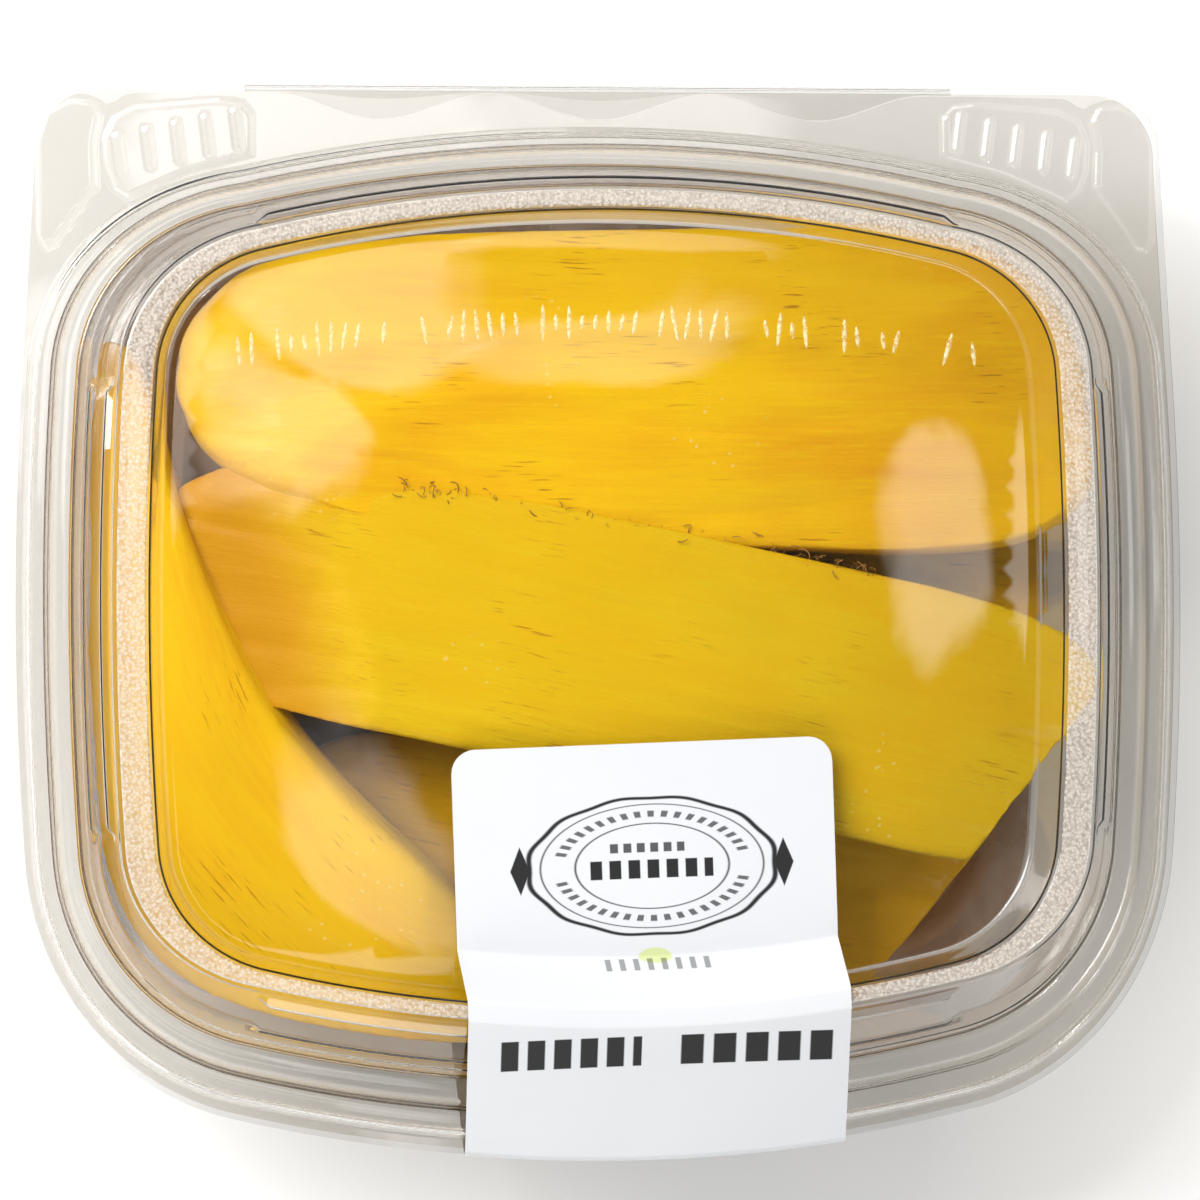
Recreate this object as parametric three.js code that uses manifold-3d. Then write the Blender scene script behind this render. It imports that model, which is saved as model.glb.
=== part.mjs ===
// Sliced mango in a shut, clear, thermoformed tub, with a paper label over its front edge.
// Millimetres. +Z is up and Z = 0 is the surface that the tub stands on. X runs along the hinge and
// +Y points at the hinge, so the label is at -Y. The origin is under the middle of the flange. The
// pieces are laid out from the middle of the lid's window, and the whole is then moved back.
import * as THREE from 'three';
import { mergeVertices } from 'three/addons/utils/BufferGeometryUtils.js';
import Module from 'manifold-3d';

const wasm = await Module();
wasm.setup();

// ---- Driving dimensions ---------------------------------------------------------------------

const SHEET = 0.5; // wall of the formed plastic
const GAP = 0.3; // air between pieces that touch

// The lid's window is a rectangle with bowed sides. Every ridge of the tub runs outside its edge,
// at a distance that is called d below. Its middle lies a little behind the middle of the flange.
const WINDOW = { halfWidth: 62, halfDepth: 54, sideBow: 480, endBow: 205, corner: 17 };
const WINDOW_BEHIND = 2;
const PER_QUARTER = { side: 3, corner: 8, end: 4 }; // steps along a quarter of the outline

const TUB_FLANGE_Z = 34; // top of the tub's flange
const LID_FLANGE_Z = TUB_FLANGE_Z + GAP + SHEET; // top of the lid's flange
const BEAD_Z = TUB_FLANGE_Z + 1.4; // top of the bead in the tub's rim
const WINDOW_Z = 35.4; // the lid's window at its edge
const WINDOW_CROWN = 0.6; // how much its middle stands higher
const RING_Z = 43.2; // top of the lid's stacking ring
const FLOOR_LIFT = 1.2; // the floor's middle stands this far above the foot ring

// Profiles as rows of [z, d at the sides, d at the back, d at the front].
// The tub's inner face, from the floor's middle part to its mouth.
const TUB_WALL = [
  [FLOOR_LIFT + SHEET, -8, -8, -8],
  [FLOOR_LIFT + SHEET, -6.2, -6.2, -6.2],
  [SHEET, -4.6, -4.6, -4.6],
  [SHEET, -1.5, -2.5, -1.5],
  [1.9, 2.2, -0.5, 2.2],
  [5.1, 4.6, 1.5, 4.6],
  [9.5, 6.2, 2.8, 6.2],
  [33.2, 12.0, 7.4, 11.8],
];
// The upper face of the tub's rim, from its mouth to the flat edge outside the bead.
const RIM = [
  [TUB_FLANGE_Z - 0.1, 12.6, 8.0, 12.4],
  [TUB_FLANGE_Z, 13.6, 9.0, 13.4],
  [TUB_FLANGE_Z, 15.4, 10.1, 16.0],
  [BEAD_Z, 16.2, 10.7, 16.8],
  [BEAD_Z, 18.3, 12.1, 19.7],
  [TUB_FLANGE_Z, 19.1, 12.8, 20.5],
  [TUB_FLANGE_Z, 19.7, 13.4, 21.2],
];
// The lid's upper face, from the window over the stacking ring to where it meets the rim.
const LID_WALL = [
  [WINDOW_Z, -2, -2, -2],
  [WINDOW_Z, 0, 0, 0],
  [WINDOW_Z + 0.5, 0.5, 0.3, 0.3],
  [RING_Z - 0.7, 2.3, 1.4, 1.4],
  [RING_Z, 3.0, 2.0, 2.0],
  [RING_Z, 7.0, 4.2, 3.8],
  [RING_Z - 0.7, 7.8, 4.9, 4.6],
  [41, 8.6, 5.5, 6.0],
  [38, 10.2, 6.6, 9.0],
  [36.2, 11.6, 7.5, 11.4],
];
const FLANGE_OUT = { side: 20.9, front: 23.0 }; // d of the lid's outer edge
const HINGE_Y = 73.4; // outer face of the hinge fold, from the window's middle
const SNAP_BAR = { out: 0.8, top: 42, bottom: 37, sideReach: 30, endReach: 47 };

// Scallops of the lid's rear edge, filled by the tear strip.
const SCALLOP = { pitch: 30.8, reach: 46.2, depth: 3.6 };
const STRIP_HALF_LENGTH = 50;
const STRIP_LEAST = 1.2; // the strip's width between scallops

const LABEL = {
  halfWidth: 27,
  middleX: 5.3,
  topY: -18.9,
  skew: 0.033, // sideways run per length: the label sits a little askew
  thickness: 0.25,
  lift: 0.3, // air under it on the window and the ring
  lastOnWindow: -5,
};

const COLOURS = {
  plastic: { color: 0xd9dadb, roughness: 0.08, metalness: 0 },
  strip: { color: 0xe4e5e4, roughness: 0.15, metalness: 0 },
  paper: { color: 0xf4f4f6, roughness: 0.6, metalness: 0 },
  paleFlesh: { color: 0xe9bd12, roughness: 0.4, metalness: 0 },
  ripeFlesh: { color: 0xe6a80a, roughness: 0.4, metalness: 0 },
};

// ---- The bowed outline and its offsets --------------------------------------------------------

// One point of the outline with its outward normal, on an arc.
function onArc(centre, radius, angle) {
  const normal = new THREE.Vector2(Math.cos(angle), Math.sin(angle));
  return { point: normal.clone().multiplyScalar(radius).add(centre), normal };
}

// Where the corner arc's centre lies: inside both long arcs by the corner's radius.
function cornerCentre(sideCentre, endCentre, { sideBow, endBow, corner }) {
  const rSide = sideBow - corner;
  const rEnd = endBow - corner;
  const between = endCentre.clone().sub(sideCentre);
  const span = between.length();
  const along = (rSide ** 2 - rEnd ** 2 + span ** 2) / (2 * span);
  const across = Math.sqrt(rSide ** 2 - along ** 2);
  between.normalize();
  const foot = sideCentre.clone().addScaledVector(between, along);
  const offs = new THREE.Vector2(-between.y, between.x).multiplyScalar(across);
  const either = [foot.clone().add(offs), foot.clone().sub(offs)];
  return either.find((p) => p.x > 0 && p.y > 0);
}

// The whole outline, anticlockwise from +X, as points with outward normals.
function bowedOutline(shape) {
  const sideCentre = new THREE.Vector2(shape.halfWidth - shape.sideBow, 0);
  const endCentre = new THREE.Vector2(0, shape.halfDepth - shape.endBow);
  const corner = cornerCentre(sideCentre, endCentre, shape);
  const sideEnd = corner.clone().sub(sideCentre).angle();
  const endStart = corner.clone().sub(endCentre).angle();
  const quarter = [];
  const addArc = (centre, radius, from, to, steps) => {
    for (let i = 0; i < steps; i++) {
      quarter.push(onArc(centre, radius, from + ((to - from) * i) / steps));
    }
  };
  addArc(sideCentre, shape.sideBow, 0, sideEnd, PER_QUARTER.side);
  addArc(corner, shape.corner, sideEnd, endStart, PER_QUARTER.corner);
  addArc(endCentre, shape.endBow, endStart, Math.PI / 2, PER_QUARTER.end);
  const top = onArc(endCentre, shape.endBow, Math.PI / 2);
  const flip = (p, sx, sy) => ({
    point: new THREE.Vector2(p.point.x * sx, p.point.y * sy),
    normal: new THREE.Vector2(p.normal.x * sx, p.normal.y * sy),
  });
  const half = [...quarter, top, ...quarter.slice(1).reverse().map((p) => flip(p, -1, 1))];
  const left = flip(quarter[0], -1, 1);
  return [...half, left, ...half.slice(1).reverse().map((p) => flip(p, 1, -1))];
}

const OUTLINE = bowedOutline(WINDOW);
const offsetPoint = (p, d) => p.point.clone().addScaledVector(p.normal, d);

// How far a place in plan lies outside the window's front edge.
function frontDistance(x, y) {
  return Math.hypot(x, y - (WINDOW.endBow - WINDOW.halfDepth)) - WINDOW.endBow;
}

// The plan place at a given x that lies d outside the window's front edge.
function frontPlace(x, d) {
  const radius = WINDOW.endBow + d;
  return WINDOW.endBow - WINDOW.halfDepth - Math.sqrt(radius ** 2 - x ** 2);
}

// The profile of [d, z] at one place of the outline, blended from a table's sides, back and front.
function profileAt(p, table) {
  const end = p.normal.y ** 2;
  return table.map(([z, side, back, front]) =>
    [side * (1 - end) + (p.normal.y > 0 ? back : front) * end, z]);
}

// A profile of [d, z] moved by a distance to its left, with mitred corners.
function offsetProfile(profile, distance) {
  const normals = profile.slice(1).map(([d, z], i) => {
    const step = new THREE.Vector2(d - profile[i][0], z - profile[i][1]).normalize();
    return new THREE.Vector2(-step.y, step.x);
  });
  return profile.map(([d, z], i) => {
    const before = normals[Math.max(i - 1, 0)];
    const after = normals[Math.min(i, normals.length - 1)];
    const mitre = before.clone().add(after).normalize();
    const reach = distance / mitre.dot(before);
    return [d + mitre.x * reach, z + mitre.y * reach];
  });
}

// ---- Solids from rings ------------------------------------------------------------------------

function geometryOf(points, faces) {
  const geometry = new THREE.BufferGeometry();
  const flat = new Float32Array(points.flatMap((p) => [p.x, p.y, p.z]));
  geometry.setAttribute('position', new THREE.BufferAttribute(flat, 3));
  geometry.setIndex(faces.flat());
  return geometry;
}

// Collects rings of points, poles and the faces between them.
class Surface {
  constructor() {
    this.points = [];
    this.faces = [];
  }

  add(points) {
    const first = this.points.length;
    this.points.push(...points);
    return points.map((_, i) => first + i);
  }

  // Joins two rings of the same length. The face looks left of a to b, seen along the ring.
  band(a, b) {
    a.forEach((_, i) => {
      const j = (i + 1) % a.length;
      this.faces.push([a[i], a[j], b[j]], [a[i], b[j], b[i]]);
    });
  }

  fan(pole, ring) {
    ring.forEach((_, i) => this.faces.push([pole, ring[i], ring[(i + 1) % ring.length]]));
  }

  // Fills the flat area between an inner ring and an outer outline.
  apron(inner, outer, facingUp) {
    const flat = (ids) => ids.map((i) => new THREE.Vector2(this.points[i].x, this.points[i].y));
    const ids = [...outer, ...inner];
    for (const t of THREE.ShapeUtils.triangulateShape(flat(outer), [flat(inner)])) {
      const [a, b, c] = t.map((i) => ids[i]);
      this.faces.push(facingUp ? [a, b, c] : [a, c, b]);
    }
  }

  geometry() {
    return geometryOf(this.points, this.faces);
  }
}

// One formed sheet: a middle part of scaled rings, a wall of offset rings and a flat flange.
// profileOf gives its upper face at one place of the outline, and its lower face lies under that.
function formedSheet({ profileOf, crown, flangeOutline }) {
  const surface = new Surface();
  const face = (profiles, up) => {
    const spots = OUTLINE.map((p, i) => profiles[i].map(([d, z]) => {
      const q = offsetPoint(p, d);
      return new THREE.Vector3(q.x, q.y, z);
    }));
    const rings = spots[0].map((_, row) => surface.add(spots.map((column) => column[row])));
    const edgeZ = spots[0][0].z;
    const pole = surface.add([new THREE.Vector3(0, 0, edgeZ + crown)])[0];
    const half = surface.add(spots.map(([first]) =>
      new THREE.Vector3(first.x / 2, first.y / 2, edgeZ + 0.75 * crown)));
    const flangeZ = spots[0].at(-1).z;
    const edge = surface.add(flangeOutline.map((p) => new THREE.Vector3(p.x, p.y, flangeZ)));
    const chain = [half, ...rings];
    surface.fan(pole, up ? half : [...half].reverse());
    for (let i = 1; i < chain.length; i++) {
      if (up) surface.band(chain[i], chain[i - 1]);
      else surface.band(chain[i - 1], chain[i]);
    }
    surface.apron(rings.at(-1), edge, up);
    return edge;
  };
  const upper = OUTLINE.map(profileOf);
  const topEdge = face(upper, true);
  const bottomEdge = face(upper.map((profile) => offsetProfile(profile, -SHEET)), false);
  surface.band(bottomEdge, topEdge);
  return surface.geometry();
}

// ---- Booleans ---------------------------------------------------------------------------------

function solid(geometry) {
  const bare = geometry.clone();
  bare.deleteAttribute('normal');
  bare.deleteAttribute('uv');
  const merged = mergeVertices(bare, 1e-4);
  const index = merged.index ?? [...Array(merged.attributes.position.count).keys()];
  return new wasm.Manifold(new wasm.Mesh({
    numProp: 3,
    vertProperties: new Float32Array(merged.attributes.position.array),
    triVerts: new Uint32Array(index.array ?? index),
  }));
}

// The largest body of a solid, so that no crumb stays beside it.
function largest(shape) {
  return shape.decompose().reduce((a, b) => (b.volume() > a.volume() ? b : a));
}

function geometryFrom(shape) {
  const mesh = shape.getMesh();
  const geometry = new THREE.BufferGeometry();
  geometry.setAttribute('position', new THREE.BufferAttribute(mesh.vertProperties, 3));
  geometry.setIndex(new THREE.BufferAttribute(mesh.triVerts, 1));
  return geometry;
}

// ---- The tub and its lid ----------------------------------------------------------------------

// The flange's edge along the left side, the front and the right side, anticlockwise.
function flangeFront(inset) {
  const low = OUTLINE.filter((p) => p.normal.y < 0.09);
  const front = low.map((p) => {
    const end = p.normal.y ** 2;
    return offsetPoint(p, FLANGE_OUT.side * (1 - end) + FLANGE_OUT.front * end - inset);
  });
  const left = front.filter((p) => p.x < -1e-6);
  const right = front.filter((p) => p.x >= -1e-6);
  // The right half's list starts on the side, so its rear points are moved behind its front ones.
  const rear = right.filter((p) => p.y >= 0);
  return [...left, ...right.filter((p) => p.y < 0), ...rear];
}

// A chain of points on an arc, in degrees.
function arc(x, y, radius, from, to, steps) {
  return Array.from({ length: steps + 1 }, (_, i) => {
    const a = THREE.MathUtils.degToRad(from + ((to - from) * i) / steps);
    return new THREE.Vector2(x + radius * Math.cos(a), y + radius * Math.sin(a));
  });
}

const mirrored = (points) => points.map((p) => new THREE.Vector2(-p.x, p.y)).reverse();

// The lid's rear edge at x: straight, with scallops.
function lidRear(x) {
  const wave = Math.abs(x) < SCALLOP.reach ? 0.5 + 0.5 * Math.cos((2 * Math.PI * x) / SCALLOP.pitch) : 0;
  return HINGE_Y - STRIP_LEAST - GAP - SCALLOP.depth * wave;
}

const REAR_STEPS = 48;
const rearXs = Array.from({ length: REAR_STEPS + 1 }, (_, i) =>
  STRIP_HALF_LENGTH * (1 - (2 * i) / REAR_STEPS));

// The lid's corner lobe, the notch beside it and the rounded tab next to the hinge.
const EAR = { x: 73.4, y: 65, radius: 6.6 };
const TAB = { x: 65.4, y: 68, radius: 3.7 };
const NOTCH = new THREE.Vector2(69.4, 70.2);

function lidOutline() {
  const rightRear = [
    ...arc(EAR.x, EAR.y, EAR.radius, 0, 120, 7),
    NOTCH,
    ...arc(TAB.x, TAB.y, TAB.radius, 45, 85, 2),
    new THREE.Vector2(STRIP_HALF_LENGTH + 4, HINGE_Y - STRIP_LEAST - GAP),
  ];
  const rear = rearXs.map((x) => new THREE.Vector2(x, lidRear(x)));
  return [...flangeFront(0), ...rightRear, ...rear, ...mirrored(rightRear)];
}

const TUB_INSET = 0.8; // the tub's flange ends this far inside the lid's
const TUB_CORNER = 9;

function tubOutline() {
  const sideX = EAR.x + EAR.radius - TUB_INSET;
  const rearY = HINGE_Y - 2 * GAP - SHEET;
  const rightRear = arc(sideX - TUB_CORNER, rearY - TUB_CORNER, TUB_CORNER, 0, 90, 7);
  return [...flangeFront(TUB_INSET), ...rightRear, ...mirrored(rightRear)];
}

// The lid's outer wall bulges into a snap bar along the middle of each side.
function withSnapBar(p, profile) {
  const along = Math.abs(p.normal.x) > Math.abs(p.normal.y)
    ? Math.abs(p.point.y) <= SNAP_BAR.sideReach
    : Math.abs(p.point.x) <= SNAP_BAR.endReach;
  return profile.map(([d, z], i) => {
    const onWall = i > LID_WALL.length / 2 && z > SNAP_BAR.bottom && z < SNAP_BAR.top;
    return [along && onWall ? d + SNAP_BAR.out : d, z];
  });
}

function tubGeometry() {
  return formedSheet({
    profileOf: (p) => profileAt(p, [...TUB_WALL, ...RIM]),
    crown: 0,
    flangeOutline: tubOutline(),
  });
}

function lidGeometry() {
  return formedSheet({
    profileOf: (p) => [
      ...withSnapBar(p, profileAt(p, LID_WALL)),
      ...offsetProfile(profileAt(p, RIM), SHEET + GAP),
    ],
    crown: WINDOW_CROWN,
    flangeOutline: lidOutline(),
  });
}

// Raised pads on the lid's two rear corners: one in the lobe and one beside the hinge.
const PAD_HEIGHT = 0.8;
const LOBE_PAD = [
  [70.9, 58.8], [76.6, 50.8], [78, 50.2], [79, 51.6], [79.1, 65.2], [77.8, 68.8], [74.4, 70.7], [71.4, 70.4],
  [70.4, 68.6], [71.1, 64.4],
];
const HINGE_PAD = [
  [49, 63.4], [58, 61], [66.4, 57.4], [68.4, 58.6], [69.6, 61.8], [69.7, 65.6], [68.4, 68.4], [65.4, 69.9],
  [53.8, 70.9], [50.4, 70.5], [49, 69],
];
// Short grip ribs that stand on the pad beside the hinge.
const RIB = { width: 0.9, length: 5.6, height: 0.6, first: 51.2, pitch: 4.1, count: 5, y: 66.8, fall: 0.9, lean: 0.12 };

function cornerRelief() {
  const base = LID_FLANGE_Z;
  const sunk = 0.2; // how deep the relief reaches into the sheet, so that they join
  const pads = [LOBE_PAD, HINGE_PAD].map((points) => {
    const shape = new THREE.Shape(points.map(([x, y]) => new THREE.Vector2(x, y)));
    const pad = new THREE.ExtrudeGeometry(shape, { depth: sunk + PAD_HEIGHT, bevelEnabled: false });
    return solid(pad.translate(0, 0, base - sunk));
  });
  const ribs = Array.from({ length: RIB.count }, (_, i) => {
    const box = new THREE.BoxGeometry(RIB.width, RIB.length, RIB.height + sunk);
    box.rotateZ(-RIB.lean);
    const z = base + PAD_HEIGHT + (RIB.height - sunk) / 2;
    return solid(box.translate(RIB.first + RIB.pitch * i, RIB.y - RIB.fall * i, z));
  });
  const right = [...pads, ...ribs];
  return [...right, ...right.map((piece) => piece.mirror([1, 0, 0]))];
}

// ---- The tear strip along the hinge -----------------------------------------------------------

function tearStrip() {
  const front = rearXs.map((x) => new THREE.Vector2(x, lidRear(x) + GAP));
  const back = [
    new THREE.Vector2(-STRIP_HALF_LENGTH, HINGE_Y - SHEET / 2),
    new THREE.Vector2(STRIP_HALF_LENGTH, HINGE_Y - SHEET / 2),
  ];
  const leaf = new THREE.ExtrudeGeometry(new THREE.Shape([...front, ...back]), {
    depth: SHEET,
    bevelEnabled: false,
  });
  leaf.translate(0, 0, LID_FLANGE_Z - SHEET);
  const foldHeight = 2 * SHEET + GAP;
  const fold = new THREE.BoxGeometry(2 * STRIP_HALF_LENGTH, SHEET, foldHeight);
  fold.translate(0, HINGE_Y - SHEET / 2, LID_FLANGE_Z - foldHeight / 2);
  return solid(leaf).add(solid(fold));
}

// ---- The label --------------------------------------------------------------------------------

// The label's inner face along one column, as [d, z]: over the window, the ring and the front
// edge, then down to the tub's wall. The label's top edge is straight, so it starts at its own d.
function labelColumn(x) {
  const start = frontDistance(x, LABEL.topY + LABEL.skew * (x - LABEL.middleX));
  const windowZ = (d) => WINDOW_Z + WINDOW_CROWN * (1 - (1 + d / WINDOW.halfDepth) ** 2) + LABEL.lift;
  const onWindow = [0, 0.25, 0.5, 0.75, 1].map((t) => {
    const d = start + (LABEL.lastOnWindow - start) * t;
    return [d, windowZ(d)];
  });
  return [
    ...onWindow,
    [1.6, RING_Z + LABEL.lift],
    [4.3, RING_Z + LABEL.lift],
    [FLANGE_OUT.front - 0.3, LID_FLANGE_Z + 0.35],
    [FLANGE_OUT.front + 0.15, LID_FLANGE_Z - 0.1],
    [FLANGE_OUT.front + 0.15, TUB_FLANGE_Z - SHEET - 0.2],
    [9, 16],
    [7.6, 10],
  ];
}

function labelGeometry() {
  const COLUMNS = 7;
  const surface = new Surface();
  const columns = Array.from({ length: COLUMNS }, (_, c) => {
    const acrossX = LABEL.middleX + LABEL.halfWidth * ((2 * c) / (COLUMNS - 1) - 1);
    const inner = labelColumn(acrossX);
    const outer = offsetProfile(inner, LABEL.thickness);
    const place = (path) => {
      let along = 0;
      return surface.add(path.map(([d, z], i) => {
        if (i > 0) along += Math.hypot(d - path[i - 1][0], z - path[i - 1][1]);
        const x = acrossX + LABEL.skew * along;
        return new THREE.Vector3(x, frontPlace(x, d), z);
      }));
    };
    return { top: place(outer), bottom: place(inner) };
  });
  const strip = (left, right) => {
    for (let i = 1; i < left.length; i++) {
      surface.faces.push([left[i - 1], left[i], right[i]], [left[i - 1], right[i], right[i - 1]]);
    }
  };
  for (let c = 1; c < COLUMNS; c++) {
    strip(columns[c - 1].top, columns[c].top);
    strip(columns[c].bottom, columns[c - 1].bottom);
  }
  const rim = (face) => {
    const last = columns.at(-1)[face];
    return [
      ...columns.map((column) => column[face][0]),
      ...last.slice(1, -1),
      ...columns.map((column) => column[face].at(-1)).reverse(),
      ...columns[0][face].slice(1, -1).reverse(),
    ];
  };
  surface.band(rim('top'), rim('bottom'));
  return surface.geometry();
}

// ---- The slices -------------------------------------------------------------------------------

// A closed spear of fruit swept along its spine. Its section has a flat side and a round one.
// The ends are rounded by blunt: the higher, the squarer the end.
function spear({ spine, width, flat, round, roll, blunt, grow = 0 }) {
  const STATIONS = 15;
  const AROUND = 16;
  const curve = new THREE.CatmullRomCurve3(spine.map((p) => new THREE.Vector3(...p)));
  const up = new THREE.Vector3(0, 0, 1);
  const surface = new Surface();
  const rings = [];
  for (let i = 1; i < STATIONS; i++) {
    const t = 0.5 - 0.5 * Math.cos((Math.PI * i) / STATIONS);
    const fromEnd = Math.abs(2 * t - 1);
    const size = Math.sqrt(1 - fromEnd ** (t < 0.5 ? blunt[0] : blunt[1]));
    const tangent = curve.getTangentAt(t);
    const turn = THREE.MathUtils.degToRad(roll[0] + (roll[1] - roll[0]) * t);
    const side = new THREE.Vector3().crossVectors(up, tangent).normalize();
    const lift = new THREE.Vector3().crossVectors(tangent, side).normalize();
    const across = side.clone().multiplyScalar(Math.cos(turn)).addScaledVector(lift, Math.sin(turn));
    const out = lift.clone().multiplyScalar(Math.cos(turn)).addScaledVector(side, -Math.sin(turn));
    const halfWidth = (0.5 * (width[0] + (width[1] - width[0]) * t)) * size + grow;
    const centre = curve.getPointAt(t);
    rings.push(surface.add(Array.from({ length: AROUND }, (_, k) => {
      const a = (2 * Math.PI * k) / AROUND;
      const [c, s] = [Math.cos(a), Math.sin(a)];
      const reach = (s > 0 ? flat : round) * size + grow;
      const power = s > 0 ? 0.45 : 0.8;
      return centre.clone()
        .addScaledVector(across, halfWidth * Math.sign(c) * Math.abs(c) ** power)
        .addScaledVector(out, reach * Math.sign(s) * Math.abs(s) ** power);
    })));
  }
  const [start, end] = surface.add([curve.getPointAt(0), curve.getPointAt(1)]);
  surface.fan(start, [...rings[0]].reverse());
  for (let i = 1; i < rings.length; i++) surface.band(rings[i - 1], rings[i]);
  surface.fan(end, rings.at(-1));
  return solid(surface.geometry());
}

// The big block beyond a plane, to cut with as a knife does.
function beyond(point, normal) {
  const size = 200;
  const block = new THREE.BoxGeometry(size, size, size);
  const n = new THREE.Vector3(...normal).normalize();
  const turn = new THREE.Quaternion().setFromUnitVectors(new THREE.Vector3(0, 0, 1), n);
  block.translate(0, 0, size / 2);
  block.applyQuaternion(turn);
  block.translate(...point);
  return solid(block);
}

// The room inside the shut tub, a gap clear of its walls, in rows like the profiles above.
const ROOM = [
  [2.1, 1.6, -1.1, 1.6],
  [5.3, 4.0, 0.9, 4.0],
  [9.7, 5.6, 2.2, 5.6],
  [33, 11.4, 6.8, 11.2],
  [34.5, 10.6, 6.2, 10.4],
];

function cavity() {
  const surface = new Surface();
  const columns = OUTLINE.map((p) => profileAt(p, ROOM).map(([d, z]) => {
    const q = offsetPoint(p, d);
    return new THREE.Vector3(q.x, q.y, z);
  }));
  const rings = ROOM.map((_, row) => surface.add(columns.map((column) => column[row])));
  const [low, high] = surface.add([
    new THREE.Vector3(0, 0, ROOM[0][0]),
    new THREE.Vector3(0, 0, ROOM.at(-1)[0]),
  ]);
  surface.fan(low, [...rings[0]].reverse());
  for (let i = 1; i < rings.length; i++) surface.band(rings[i - 1], rings[i]);
  surface.fan(high, rings.at(-1));
  return solid(surface.geometry());
}

// From the top of the pile down: each slice is pressed out of shape by those before it.
const SLICES = [
  {
    name: 'slice_left',
    colour: 'ripeFlesh',
    spine: [
      [-67.5, 38, 22], [-68.5, 14, 20.5], [-60.5, -17, 20], [-47.5, -37, 20], [-31, -51.5, 20], [-8, -59, 20],
    ],
    width: [26, 46],
    flat: 6,
    round: 13,
    roll: [24, 20],
    blunt: [2.2, 3.2],
    cuts: [],
  },
  {
    name: 'slice_middle',
    colour: 'paleFlesh',
    spine: [[-64, 7, 23], [-42.7, 3.4, 29.5], [-10.7, -3, 31.6], [29.3, -12, 31.6], [74, -22.6, 30]],
    width: [36, 38.5],
    flat: 2.6,
    round: 14.5,
    roll: [-2, 2],
    blunt: [8, 9],
    cuts: [
      { point: [58, -30.6, 26], normal: [0.79, -0.62, 0.05] },
      { point: [-38, 5, 32.4], normal: [-0.3, -0.04, 1] },
    ],
  },
  {
    name: 'slice_back',
    colour: 'ripeFlesh',
    spine: [[-58.7, 33.3, 21], [-20.7, 31.3, 24], [24.3, 30.6, 24], [76, 31, 22]],
    width: [41, 51],
    flat: 9.5,
    round: 10,
    roll: [-12, -14],
    blunt: [5, 7],
    cuts: [
      { point: [0, 45.3, 28.6], normal: [0, 0.42, 1] },
      { point: [0, 18.3, 33], normal: [0, -0.08, 1] },
    ],
  },
  {
    name: 'slice_under',
    colour: 'ripeFlesh',
    spine: [[-50, 15.3, 11], [-18, 12.3, 11.5], [32, 9.3, 11.5], [74, 7.3, 12.5]],
    width: [30, 34],
    flat: 4.5,
    round: 9.5,
    roll: [0, 0],
    blunt: [4, 6],
    cuts: [],
  },
  {
    name: 'slice_front',
    colour: 'ripeFlesh',
    spine: [[-43, -25.7, 11], [-13, -32, 11.5], [22, -39.5, 11.5], [62, -48.5, 11]],
    width: [28, 35],
    flat: 4.5,
    round: 9,
    roll: [3, 6],
    blunt: [4, 7],
    cuts: [{ point: [50.3, -44.7, 12], normal: [0.775, -0.632, 0.1] }],
  },
];

function sliceSolids() {
  const room = cavity();
  const taken = [];
  return SLICES.map(({ name, colour, cuts, ...form }) => {
    const planes = cuts.map(({ point, normal }) => beyond(point, normal));
    const trimmed = (shape) => planes.reduce((s, plane) => s.subtract(plane), shape);
    let body = trimmed(spear(form)).intersect(room);
    for (const neighbour of taken) body = body.subtract(neighbour);
    taken.push(spear({ ...form, grow: GAP }));
    return { name, colour, body: largest(body) };
  });
}

// ---- The whole --------------------------------------------------------------------------------

const whole = new THREE.Group();
whole.position.y = WINDOW_BEHIND;

function addMesh(name, geometry, colour) {
  const mesh = new THREE.Mesh(geometry, new THREE.MeshStandardMaterial(COLOURS[colour]));
  mesh.name = name;
  whole.add(mesh);
}

addMesh('tub', tubGeometry(), 'plastic');
const lidBody = cornerRelief().reduce((lid, piece) => lid.add(piece), solid(lidGeometry()));
addMesh('lid', geometryFrom(lidBody), 'plastic');
addMesh('tear_strip', geometryFrom(tearStrip()), 'strip');
addMesh('label', labelGeometry(), 'paper');
for (const { name, colour, body } of sliceSolids()) addMesh(name, geometryFrom(body), colour);

export default whole;
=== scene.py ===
# %% [markdown]
# # Mango slices in a shut, clear tub
# The pack is a thermoformed tub with a hinged lid, five slices of mango and a paper label that
# runs over the front edge. The frame holds its plain solids. This file dresses each of them: the
# two formed sheets get their fillets and corner relief, the fruit gets its cut and fibrous
# surface, and the label its fold and print. Lengths are in millimetres until a mesh is made.

import math

import bmesh
import bpy
import numpy as np
from mathutils import Matrix, Vector, geometry, noise
from mathutils.bvhtree import BVHTree


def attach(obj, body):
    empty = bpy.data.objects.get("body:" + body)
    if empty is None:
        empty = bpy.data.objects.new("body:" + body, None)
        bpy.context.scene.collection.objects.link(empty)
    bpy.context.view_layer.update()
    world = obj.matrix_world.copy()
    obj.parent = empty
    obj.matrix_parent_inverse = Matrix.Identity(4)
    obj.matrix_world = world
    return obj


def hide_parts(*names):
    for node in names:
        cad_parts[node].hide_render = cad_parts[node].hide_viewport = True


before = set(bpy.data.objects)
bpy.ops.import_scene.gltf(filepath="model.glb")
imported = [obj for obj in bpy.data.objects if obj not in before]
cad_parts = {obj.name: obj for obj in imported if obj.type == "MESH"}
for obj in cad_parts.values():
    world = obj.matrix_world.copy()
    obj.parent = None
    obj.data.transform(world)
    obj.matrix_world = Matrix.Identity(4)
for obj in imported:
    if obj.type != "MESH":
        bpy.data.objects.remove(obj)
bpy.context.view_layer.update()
MM = 0.001
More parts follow.
